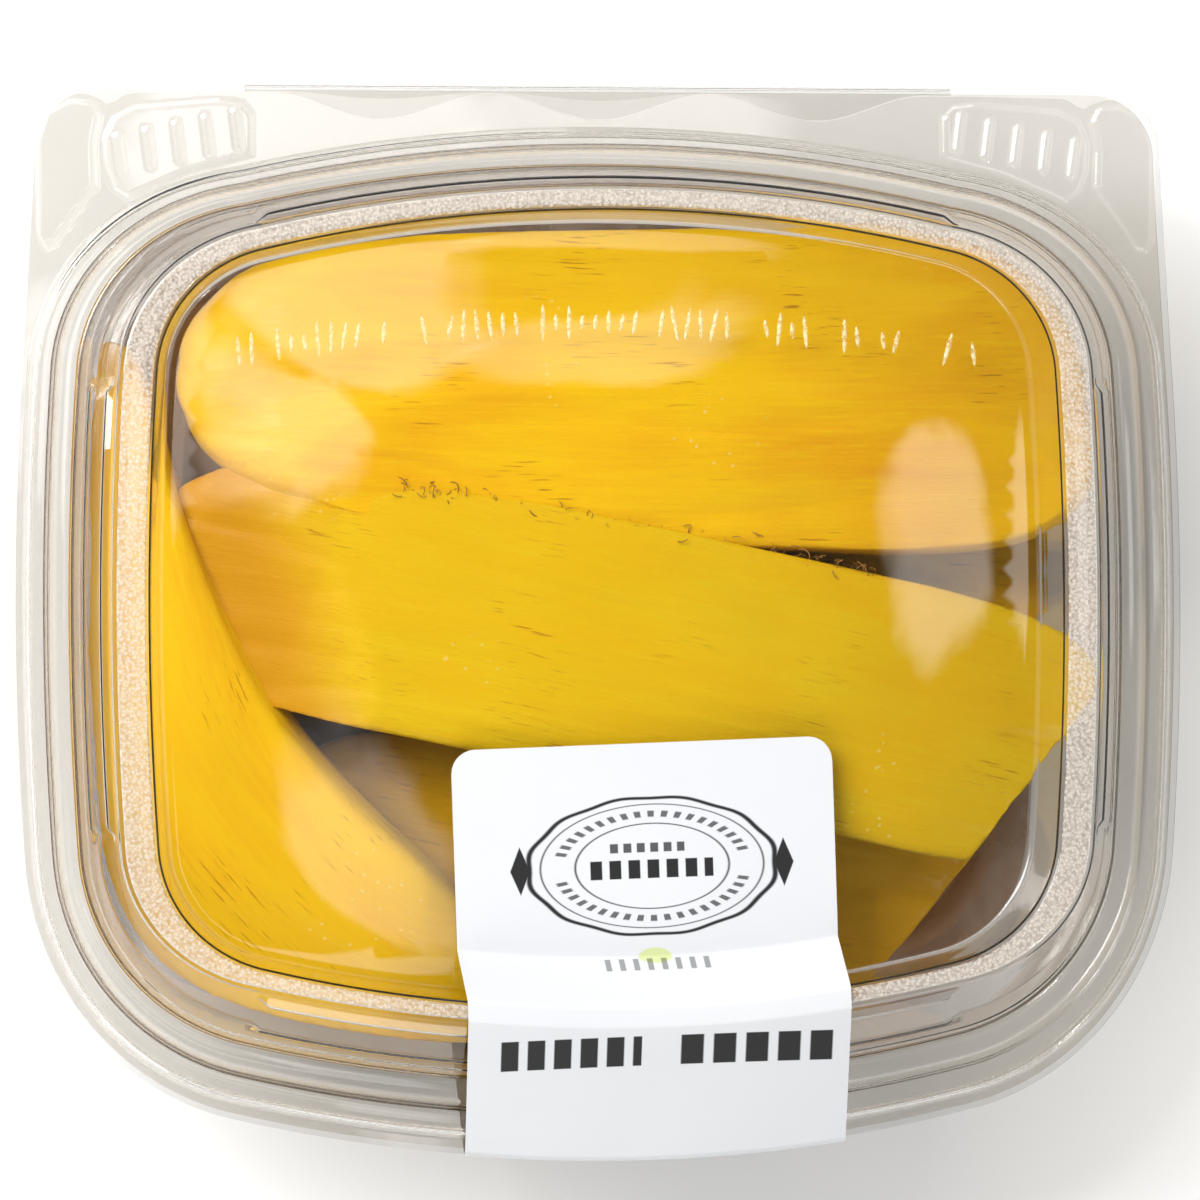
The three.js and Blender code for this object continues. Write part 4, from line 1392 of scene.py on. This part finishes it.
# %% Where the slices lie
SLICES = [
    {
        "name": "slice_left",
        "flesh": "ripe",
        "spine": [
            (-67.5, 38, 22), (-68.5, 14, 20.5), (-60.5, -17, 20),
            (-47.5, -37, 20), (-31, -51.5, 20), (-8, -59, 20),
        ],
        "width": (26, 46),
        "flat": 6,
        "round": 13,
        "roll": (24, 20),
        "blunt": (2.2, 3.2),
        "cuts": [],
    },
    {
        "name": "slice_middle",
        "flesh": "pale",
        "spine": [
            (-64, 7, 23), (-42.7, 3.4, 29.5), (-10.7, -3, 31.6), (29.3, -12, 31.6), (74, -22.6, 30),
        ],
        "width": (36, 38.5),
        "flat": 2.6,
        "round": 14.5,
        "roll": (-2, 2),
        "blunt": (8, 9),
        "cuts": [((58, -30.6, 26), (0.79, -0.62, 0.05)), ((-38, 5, 32.4), (-0.3, -0.04, 1))],
    },
    {
        "name": "slice_back",
        "flesh": "ripe",
        "spine": [(-58.7, 33.3, 21), (-20.7, 31.3, 24), (24.3, 30.6, 24), (76, 31, 22)],
        "width": (41, 51),
        "flat": 9.5,
        "round": 10,
        "roll": (-12, -14),
        "blunt": (5, 7),
        "cuts": [((0, 45.3, 28.6), (0, 0.42, 1)), ((0, 18.3, 33), (0, -0.08, 1))],
    },
    {
        "name": "slice_under",
        "flesh": "ripe",
        "spine": [(-50, 15.3, 11), (-18, 12.3, 11.5), (32, 9.3, 11.5), (74, 7.3, 12.5)],
        "width": (30, 34),
        "flat": 4.5,
        "round": 9.5,
        "roll": (0, 0),
        "blunt": (4, 6),
        "cuts": [],
    },
    {
        "name": "slice_front",
        "flesh": "ripe",
        "spine": [(-43, -25.7, 11), (-13, -32, 11.5), (22, -39.5, 11.5), (62, -48.5, 11)],
        "width": (28, 35),
        "flat": 4.5,
        "round": 9,
        "roll": (3, 6),
        "blunt": (4, 7),
        "cuts": [((50.3, -44.7, 12), (0.775, -0.632, 0.1))],
    },
]
ROOM = [
    [2.1, 1.6, -1.1, 1.6],
    [5.3, 4.0, 0.9, 4.0],
    [9.7, 5.6, 2.2, 5.6],
    [33, 11.4, 6.8, 11.2],
    [34.5, 10.6, 6.2, 10.4],
]
for form in SLICES:
    print(form["name"], "spine points:", len(form["spine"]), "cuts:", len(form["cuts"]))

# %% [markdown]
# A slice's spine is a smooth curve that passes through the few places given. Its pieces are
# spaced by the distances between them, so that it never loops where two places are close. A knife
# is a big block that lies beyond its plane, and the room is a closed stack of rings.

# %% Spines, knives and the room
SPINE_STEPS = 160
LEG_STEPS = 60
KNIFE_SIZE = 200 * MM


def spans(knots, depth, j):
    """The knots between which a level of the curve's construction runs."""
    if depth == 1:
        return knots[j], knots[j + 1]
    if depth == 2:
        return knots[j], knots[j + 2]
    return knots[1], knots[2]


def spine_points(points):
    """A smooth curve through the points, evenly spaced along its length."""
    p = np.array(points, float)
    p = np.concatenate([[2 * p[0] - p[1]], p, [2 * p[-1] - p[-2]]])
    curve = []
    for i in range(1, len(p) - 2):
        knots = np.cumsum([0, *(np.linalg.norm(np.diff(p[i - 1 : i + 3], axis=0), axis=1) ** 0.5)])
        for t in np.linspace(knots[1], knots[2], LEG_STEPS, endpoint=i == len(p) - 3):
            level = list(p[i - 1 : i + 3])
            for depth in range(1, 4):
                level = [
                    (level[j] * (hi - t) + level[j + 1] * (t - lo)) / (hi - lo)
                    for j in range(4 - depth)
                    for lo, hi in [spans(knots, depth, j)]
                ]
            curve.append(level[0])
    curve = np.array(curve)
    lengths = np.cumsum([0, *np.linalg.norm(np.diff(curve, axis=0), axis=1)])
    even = np.linspace(0, lengths[-1], SPINE_STEPS)
    return np.column_stack([np.interp(even, lengths, curve[:, axis]) for axis in range(3)])


def spear(form, material, grow=0.0):
    points = spine_points(form["spine"])
    edges = [(i, i + 1) for i in range(len(points) - 1)]
    obj = plain_object(form["name"], points, edges)
    values = {"Flat": form["flat"] * MM, "Round": form["round"] * MM, "Grow": grow * MM}
    for i, end in enumerate(("Start", "End")):
        values[f"Width {end}"] = form["width"][i] * MM
        values[f"Roll {end}"] = math.radians(form["roll"][i])
        values[f"Blunt {end}"] = float(form["blunt"][i])
    return worked(obj, SPEAR, {**values, "Material": material})


def beyond_plane(point, normal):
    """The big block beyond a plane, to cut with as a knife does."""
    form = bmesh.new()
    middle = Matrix.Translation((0, 0, KNIFE_SIZE / 2))
    bmesh.ops.create_cube(form, size=KNIFE_SIZE, matrix=middle)
    turn = Vector(normal).normalized().to_track_quat("Z", "Y").to_matrix().to_4x4()
    spot = (Vector(point) + Vector((0, WINDOW_BEHIND, 0))) * MM
    form.transform(Matrix.Translation(spot) @ turn)
    mesh = bpy.data.meshes.new("knife")
    form.to_mesh(mesh)
    form.free()
    return linked("knife", mesh)


def room_block():
    skin = Skin()
    rings = rings_of(profile(ROOM))[:, ::3]
    ids = [skin.add(ring) for ring in rings]
    for a, b in zip(ids, ids[1:]):
        skin.band(a, b)
    skin.faces += [ids[0][::-1].tolist(), ids[-1].tolist()]
    return plain_object("room", np.concatenate(skin.points), faces=skin.faces)


for form in SLICES:
    length = np.linalg.norm(np.diff(spine_points(form["spine"]), axis=0), axis=1).sum()
    print(form["name"], "spine length in mm:", round(length, 1))

# %% [markdown]
# A wet cut surface is never plain. The points of a slice are pressed inwards here and there: long
# shallow facets where the knife slid, low swells, and fine grooves along the fibres. All of them
# are waves of noise in the slice's own directions. They are pressed into the mesh and not only
# drawn by the material, so they show in its outline and its reflections. The same directions are
# stored on the mesh for the material.

# %% The cut surface
FACET = {"deep": 0.3, "long": 55.0, "wide": 8.0}
SWELL = {"deep": 0.45, "wide": 14.0}
GROOVE = {"deep": 0.16, "long": 12.0, "wide": 1.3}
POINTS_AT_ONCE = 2000


def grain_of(points, form):
    """How far along, across and out of its spine each point of a slice lies, in mm."""
    spine = spine_points(form["spine"])
    tangents = np.gradient(spine, axis=0)
    tangents /= np.linalg.norm(tangents, axis=1, keepdims=True)
    side = np.cross((0, 0, 1), tangents)
    side /= np.linalg.norm(side, axis=1, keepdims=True)
    lift = np.cross(tangents, side)
    share = np.linspace(0, 1, len(spine))[:, None]
    roll = np.radians(form["roll"][0] + (form["roll"][1] - form["roll"][0]) * share)
    across = side * np.cos(roll) + lift * np.sin(roll)
    out = lift * np.cos(roll) - side * np.sin(roll)
    length = np.linalg.norm(np.diff(spine, axis=0), axis=1).sum()
    near = np.zeros(len(points), int)
    for part in np.array_split(np.arange(len(points)), max(1, len(points) // POINTS_AT_ONCE)):
        gaps = points[part, None] - spine[None]
        near[part] = (gaps**2).sum(2).argmin(1)
    gap = points - spine[near]
    return np.column_stack(
        [
            near / (len(spine) - 1) * length + (gap * tangents[near]).sum(1),
            (gap * across[near]).sum(1),
            (gap * out[near]).sum(1),
        ]
    )


def carve(mesh, form, seed):
    """Presses facets, swells and fibre grooves into a slice and stores its grain."""
    count = len(mesh.vertices)
    points, normals = np.zeros(count * 3), np.zeros(count * 3)
    mesh.vertices.foreach_get("co", points)
    mesh.vertices.foreach_get("normal", normals)
    points, normals = points.reshape(-1, 3), normals.reshape(-1, 3)
    local = points / MM - (0, WINDOW_BEHIND, 0)
    grain = grain_of(local, form)
    shift = np.array([seed * 31.7, seed * 17.3, seed * 7.9])

    def waves(scales, offset):
        places = grain * scales + shift + offset
        return np.array([noise.noise(place.tolist()) for place in places])

    facet = np.abs(waves((1 / FACET["long"], 1 / FACET["wide"], 1 / FACET["wide"]), 0))
    swell = waves([1 / SWELL["wide"]] * 3, 11.1)
    groove = waves((1 / GROOVE["long"], 1 / GROOVE["wide"], 1 / GROOVE["wide"]), 23.7)
    press = FACET["deep"] * (1 - np.clip(facet * 3, 0, 1))
    press += SWELL["deep"] * (0.5 + 0.5 * swell) + GROOVE["deep"] * (0.5 + 0.5 * groove)
    points -= normals * (press * MM)[:, None]
    mesh.vertices.foreach_set("co", points.ravel())
    layer = mesh.attributes.new("grain", "FLOAT_VECTOR", "POINT")
    layer.data.foreach_set("vector", (grain + shift * 3).ravel())
    mesh.update()


print("deepest press in mm:", FACET["deep"] + SWELL["deep"] + GROOVE["deep"])

# %% [markdown]
# Now the slices themselves. Each spear is cut by its knives, kept within the room and less the
# earlier slices, grown by a small gap so that no two touch. It is remeshed finely, which rounds
# off the edges that the cuts leave, before its surface is pressed in.

# %% The slices
VOXEL = 0.55
SMOOTHING = {"factor": 0.5, "iterations": 5}


def boolean(obj, operation, other):
    modifier = obj.modifiers.new(operation, "BOOLEAN")
    modifier.operation, modifier.object, modifier.solver = operation, other, "MANIFOLD"


def sliced_fruit():
    room = room_block()
    helpers, taken, pieces = [room], [], []
    stuffs = {"ripe": ripe_flesh, "pale": pale_flesh}
    for number, form in enumerate(SLICES):
        material = stuffs[form["flesh"]]
        obj = spear(form, material)
        knives = [beyond_plane(*cut) for cut in form["cuts"]]
        helpers += knives
        boolean(obj, "INTERSECT", room)
        for other in [*knives, *taken]:
            boolean(obj, "DIFFERENCE", other)
        remesh = obj.modifiers.new("remesh", "REMESH")
        remesh.mode, remesh.voxel_size, remesh.adaptivity = "VOXEL", VOXEL * MM, 0
        smooth = obj.modifiers.new("soften", "SMOOTH")
        smooth.factor, smooth.iterations = SMOOTHING["factor"], SMOOTHING["iterations"]
        work_in(obj)
        grown = spear({**form, "name": "grown"}, material, GAP)
        taken.append(grown)
        helpers.append(grown)
        carve(obj.data, form, number + 1)
        pieces.append(piece_of(obj, form["name"] + "_fine", material, 180))
    for helper in helpers:
        bpy.data.objects.remove(helper)
    return pieces


slices = sliced_fruit()

# %% [markdown]
# A row of short raised strokes is pressed into the window along an arc behind its middle. A tree
# puts a rounded stroke on each point of the arc. By a fixed seed some are left out, and each one
# leans a little and is longer or shorter than the next, so that the row looks hand-drawn.

# %% The row of strokes on the window
RIB_ROW = {"half_span": 53, "middle_y": 40, "end_fall": 4.3, "count": 58, "steps": 60}
SUNK = 0.05


def by_chance(bench, kind, seed, **limits):
    """A value that differs from point to point, by a fixed seed."""
    values = {**limits, "Seed": seed}
    return bench.out(bench.add("FunctionNodeRandomValue", {"data_type": kind}, values), "Value")


def rib_row():
    tree, bench, given = new_tree(
        "rib_row",
        {
            "Count": (WHOLE, RIB_ROW["count"]),
            "Width": (FLOAT, 0.0007),
            "Length": (FLOAT, 0.0046),
            "Height": (FLOAT, 0.0006),
            "Seed": (WHOLE, 3),
            "Material": (STUFF, None),
        },
    )
    path = bench.out(bench.add("GeometryNodeMeshToCurve", (), {"Mesh": given["Geometry"]}))
    spread = {"Curve": path, "Count": given["Count"]}
    points = bench.out(bench.add("GeometryNodeCurveToPoints", {"mode": "COUNT"}, spread), "Points")
    rib = {"Segments": 12, "Rings": 8, "Radius": 0.5}
    bead = bench.out(bench.add("GeometryNodeMeshUVSphere", (), rib), "Mesh")
    length = given["Length"] * by_chance(bench, "FLOAT", given["Seed"], Min=0.45, Max=1.15)
    leans = {"Min": (0.0, 0.0, -0.3), "Max": (0.0, 0.0, 0.2)}
    lean = by_chance(bench, "FLOAT_VECTOR", given["Seed"], **leans)
    put = {
        "Points": points,
        "Instance": bead,
        "Scale": bench.joined(given["Width"], length, given["Height"]),
        "Rotation": bench.out(bench.add("FunctionNodeEulerToRotation", (), {"Euler": lean})),
        "Selection": by_chance(bench, "BOOLEAN", given["Seed"], Probability=0.78),
    }
    ribs = bench.out(bench.add("GeometryNodeInstanceOnPoints", (), put))
    smooth = bench.out(bench.add("GeometryNodeSetShadeSmooth", (), {"Geometry": ribs}))
    finish_tree(bench, smooth, given["Material"])
    xs = np.linspace(-RIB_ROW["half_span"], RIB_ROW["half_span"], RIB_ROW["steps"])
    ys = RIB_ROW["middle_y"] - RIB_ROW["end_fall"] * (xs / RIB_ROW["half_span"]) ** 2
    xy = np.column_stack([xs, ys])
    points = np.column_stack([xy, window_height(xy) - SUNK])
    obj = plain_object("rib_path", points, [(i, i + 1) for i in range(len(xs) - 1)])
    worked(obj, tree, {"Material": rib_plastic})
    return piece_of(obj, "window_ribs", rib_plastic, 60)


ribs = rib_row()

# %% [markdown]
# A few brown fibres of the stone's husk still cling to the upper edge of the middle slice. They
# are short bent threads, laid along three lines on the fruit by a tree. The lines are flat, so
# each point is dropped straight down onto the slices first.

# %% Husk fibres
HUSK_LINES = [
    ((-29, 16.8), (-20, 16.2), 50),
    ((-20, 16.2), (24, 8.6), 40),
    ((24, 8.6), (39, 4.6), 130),
]
HUSK_SPREAD = 0.3
HUSK_LIFT = 0.05
ABOVE_ALL = 0.05


def husk_material():
    material, bench, place = new_material("husk_fibre")
    tone = bench.mottle(place, 900, 2)
    base = bench.colour(tone, (0.16, 0.05, 0.006), (0.42, 0.2, 0.03))
    shader = bench.shader("Principled", Base_Color=base, Roughness=0.35 + tone * 0.2)
    finish_material(bench, shader)
    return material


def on_the_fruit(lines):
    """Points scattered along flat lines and dropped onto the slices."""
    forms = [BVHTree.FromObject(obj, bpy.context.evaluated_depsgraph_get()) for obj in slices]
    random = np.random.default_rng(12)
    points = []
    for (x0, y0), (x1, y1), count in lines:
        for share in np.linspace(0, 1, count):
            x = x0 + (x1 - x0) * share
            y = y0 + (y1 - y0) * share + random.normal(0, HUSK_SPREAD)
            top = Vector((x * MM, (y + WINDOW_BEHIND) * MM, ABOVE_ALL))
            hits = [form.ray_cast(top, Vector((0, 0, -1)))[0] for form in forms]
            heights = [hit.z / MM for hit in hits if hit is not None]
            points.append((x, y, max(heights) + HUSK_LIFT))
    return points


def husk_fibres():
    tree, bench, given = new_tree(
        "husk",
        {
            "Length": (FLOAT, 0.0012),
            "Radius": (FLOAT, 0.00007),
            "Seed": (WHOLE, 5),
            "Material": (STUFF, None),
        },
    )
    thread = {"Sweep Angle": 1.1, "Radius": 1.0, "Resolution": 8}
    bow = bench.out(bench.add("GeometryNodeCurveArc", {"mode": "RADIUS"}, thread), "Curve")
    ring = {"Resolution": 6, "Radius": given["Radius"] / given["Length"]}
    round_section = bench.add("GeometryNodeCurvePrimitiveCircle", {"mode": "RADIUS"}, ring)
    tube = {"Curve": bow, "Profile Curve": bench.out(round_section, "Curve"), "Fill Caps": True}
    one = bench.out(bench.add("GeometryNodeCurveToMesh", (), tube), "Mesh")
    twists = {"Min": (-0.6, -0.6, 0.0), "Max": (0.6, 0.6, 6.28)}
    twist = by_chance(bench, "FLOAT_VECTOR", given["Seed"], **twists)
    size = by_chance(bench, "FLOAT", given["Seed"], Min=0.4, Max=1.3) * given["Length"]
    put = {
        "Points": given["Geometry"],
        "Instance": one,
        "Rotation": bench.out(bench.add("FunctionNodeEulerToRotation", (), {"Euler": twist})),
        "Scale": bench.joined(size, size, size),
    }
    threads = bench.out(bench.add("GeometryNodeInstanceOnPoints", (), put))
    finish_tree(bench, threads, given["Material"])
    obj = plain_object("husk_points", on_the_fruit(HUSK_LINES))
    material = husk_material()
    worked(obj, tree, {"Material": material})
    return piece_of(obj, "husk_fibres", material, 60)


fibres = husk_fibres()

# %% [markdown]
# The pack stands on a plain white floor, which is only there for the picture and belongs to the
# stage. It is wide enough that no view sees its edge.

# %% The floor
FLOOR_HALF = 6.0


def floor_material():
    material, bench, place = new_material("pale_floor")
    tone = bench.mottle(place, 3, 2)
    base = bench.colour(tone, (0.95, 0.95, 0.95), (0.965, 0.965, 0.965))
    shader = bench.shader("Principled", Base_Color=base, Roughness=0.7 + tone * 0.1)
    finish_material(bench, shader)
    return material


floor_mesh = bpy.data.meshes.new("floor")
corners = [(x * FLOOR_HALF, y * FLOOR_HALF, 0) for x, y in ((-1, -1), (1, -1), (1, 1), (-1, 1))]
floor_mesh.from_pydata(corners, [], [(0, 1, 2, 3)])
floor_mesh.materials.append(floor_material())
floor = linked("floor", floor_mesh)
print("floor:", 2 * FLOOR_HALF, "m wide")

# %% [markdown]
# The light comes from a bright, even room, a little more of it from the left, as in the
# photograph. Four large lamps shape the fruit and the ridges, and two small ones draw fine
# sparkles along the ridges. Each glow is a small dim lamp overhead that the window mirrors as a
# pale patch at a given place. A plain area lamp would show hard edges there, so a glow fades out
# unevenly, as the reflection of a far window does.

# %% The lamps
LIGHTS = {
    "left": {"at": (-0.6, 0.35, 0.6), "size": (0.6, 0.4), "watts": 8},
    "right": {"at": (1.4, 0.1, 1.0), "size": (1.4, 0.8), "watts": 1},
    "back": {"at": (-0.5, 1.5, 1.1), "size": (1.6, 0.7), "watts": 9},
    "front": {"at": (-0.6, -1.5, 1.0), "size": (1.6, 0.7), "watts": 10},
    "sparkle_left": {"at": (-0.7, 0.75, 1.6), "size": (0.12, 0.12), "watts": 3},
    "sparkle_right": {"at": (0.75, -0.5, 1.6), "size": (0.1, 0.1), "watts": 2},
}
GLOWS = [
    {"at": (0.152, 0.155), "size": (0.15, 0.1), "turn": 12, "bright": 1.7},
    {"at": (0.098, 0.074), "size": (0.12, 0.11), "turn": 62, "bright": 1.7},
    {"at": (0.26, 0.15), "size": (0.14, 0.08), "turn": 2, "bright": 1.2},
    {"at": (0.415, 0.026), "size": (0.1, 0.066), "turn": 105, "bright": 1.9},
    {"at": (0.158, -0.118), "size": (0.2, 0.055), "turn": 118, "bright": 1.3},
]
GLOW_HEIGHT = 1.6
WINDOW_MIDDLE = (0, 0, 0.04)
PACK_MIDDLE = (0, 0, 0.03)
SOFT_EDGE = (0.92, 0.62)
GLOW_WHITE = (1, 0.99, 1)


def soften(data, seed):
    """Lets a lamp fade out unevenly towards its edge, as light from a window does."""
    data.use_nodes = True
    data.node_tree.nodes.clear()
    bench = Bench(data.node_tree)
    spot = bench.out(bench.add("ShaderNodeNewGeometry"), "Parametric")
    x, y, _ = bench.split(spot)
    far = ((x - 0.5) ** 2.0 + (y - 0.5) ** 2.0) ** 0.5 * 2.0
    uneven = bench.mottle(bench.vector("ADD", spot, (seed, 0, 0)), 3.5, 2) - 0.5
    light = bench.colour(bench.eased(far + uneven * 0.5, *SOFT_EDGE), (0, 0, 0), GLOW_WHITE)
    glow = bench.add("ShaderNodeEmission", (), {"Color": light})
    bench.add("ShaderNodeOutputLight", (), {"Surface": bench.out(glow)})


def lamp(name, place, aim, size, watts, turn=0.0):
    """A flat lamp that faces its aim. Its first side lies at some degrees from +X."""
    data = bpy.data.lights.new(name, "AREA")
    data.shape = "RECTANGLE"
    data.size, data.size_y = size
    data.energy = watts
    obj = linked(name, data)
    back = (Vector(place) - Vector(aim)).normalized()
    up = back.cross(Vector((math.cos(math.radians(turn)), math.sin(math.radians(turn)), 0)))
    up.normalize()
    facing = Matrix((up.cross(back), up, back)).transposed().to_4x4()
    obj.matrix_world = Matrix.Translation(Vector(place)) @ facing
    return obj


for name, light in LIGHTS.items():
    lamp(name, light["at"], PACK_MIDDLE, light["size"], light["watts"])
for number, glow in enumerate(GLOWS):
    watts = glow["bright"] * math.pi * glow["size"][0] * glow["size"][1]
    place = (*glow["at"], GLOW_HEIGHT)
    soft = lamp(f"glow_{number}", place, WINDOW_MIDDLE, glow["size"], watts, glow["turn"])
    soften(soft.data, number)
print("lamps:", len(LIGHTS), "and glows:", len(GLOWS))

# %% [markdown]
# The room is the world's colour, a bright horizon under a dim ceiling. The ceiling is what the
# flat window mirrors, and a bright one would lay a grey veil over the fruit.


# %% The room
HORIZON = (0.95, 0.945, 0.93)
CEILING = (0.1, 0.1, 0.1)
CEILING_FROM = (0.86, 0.965)
ROOM_STRENGTH = 0.66


def room_light():
    """A bright horizon under a dim ceiling."""
    world = bpy.data.worlds.new("room")
    world.use_nodes = True
    world.node_tree.nodes.clear()
    bench = Bench(world.node_tree)
    direction = bench.out(bench.add("ShaderNodeTexCoord"), "Generated")
    up = bench.split(direction)[2]
    tone = bench.colour(bench.eased(up, *CEILING_FROM), HORIZON, CEILING)
    sky = {"Color": tone, "Strength": ROOM_STRENGTH}
    sky = bench.out(bench.add("ShaderNodeBackground", (), sky))
    bench.add("ShaderNodeOutputWorld", (), {"Surface": sky})
    scene.world = world


room_light()
scene.view_settings.view_transform = "Standard"
scene.cycles.max_bounces, scene.cycles.diffuse_bounces = 9, 1
scene.cycles.transparent_max_bounces = 16
scene.cycles.light_sampling_threshold = 0.05
print("room light:", scene.world.name, ROOM_STRENGTH)

# %% [markdown]
# Last, each piece rides with the pack and stands for its plain solid, which is hidden. The
# strokes and the fibres stand for none, because they are part of no solid.

# %% The pieces ride with the pack
PARTS = [
    (tub, "clear_plastic", ["tub"]),
    (lid, "clear_plastic", ["lid"]),
    (strip, "tear_strip", ["tear_strip"]),
    (label, "label_paper", ["label"]),
    (ribs, "clear_plastic", []),
    (fibres, "pale_flesh", []),
]
for piece, form in zip(slices, SLICES):
    PARTS.append((piece, form["flesh"] + "_flesh", [form["name"]]))
for piece, finish, nodes in PARTS:
    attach(piece, "root")
    if nodes:
        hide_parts(*nodes)
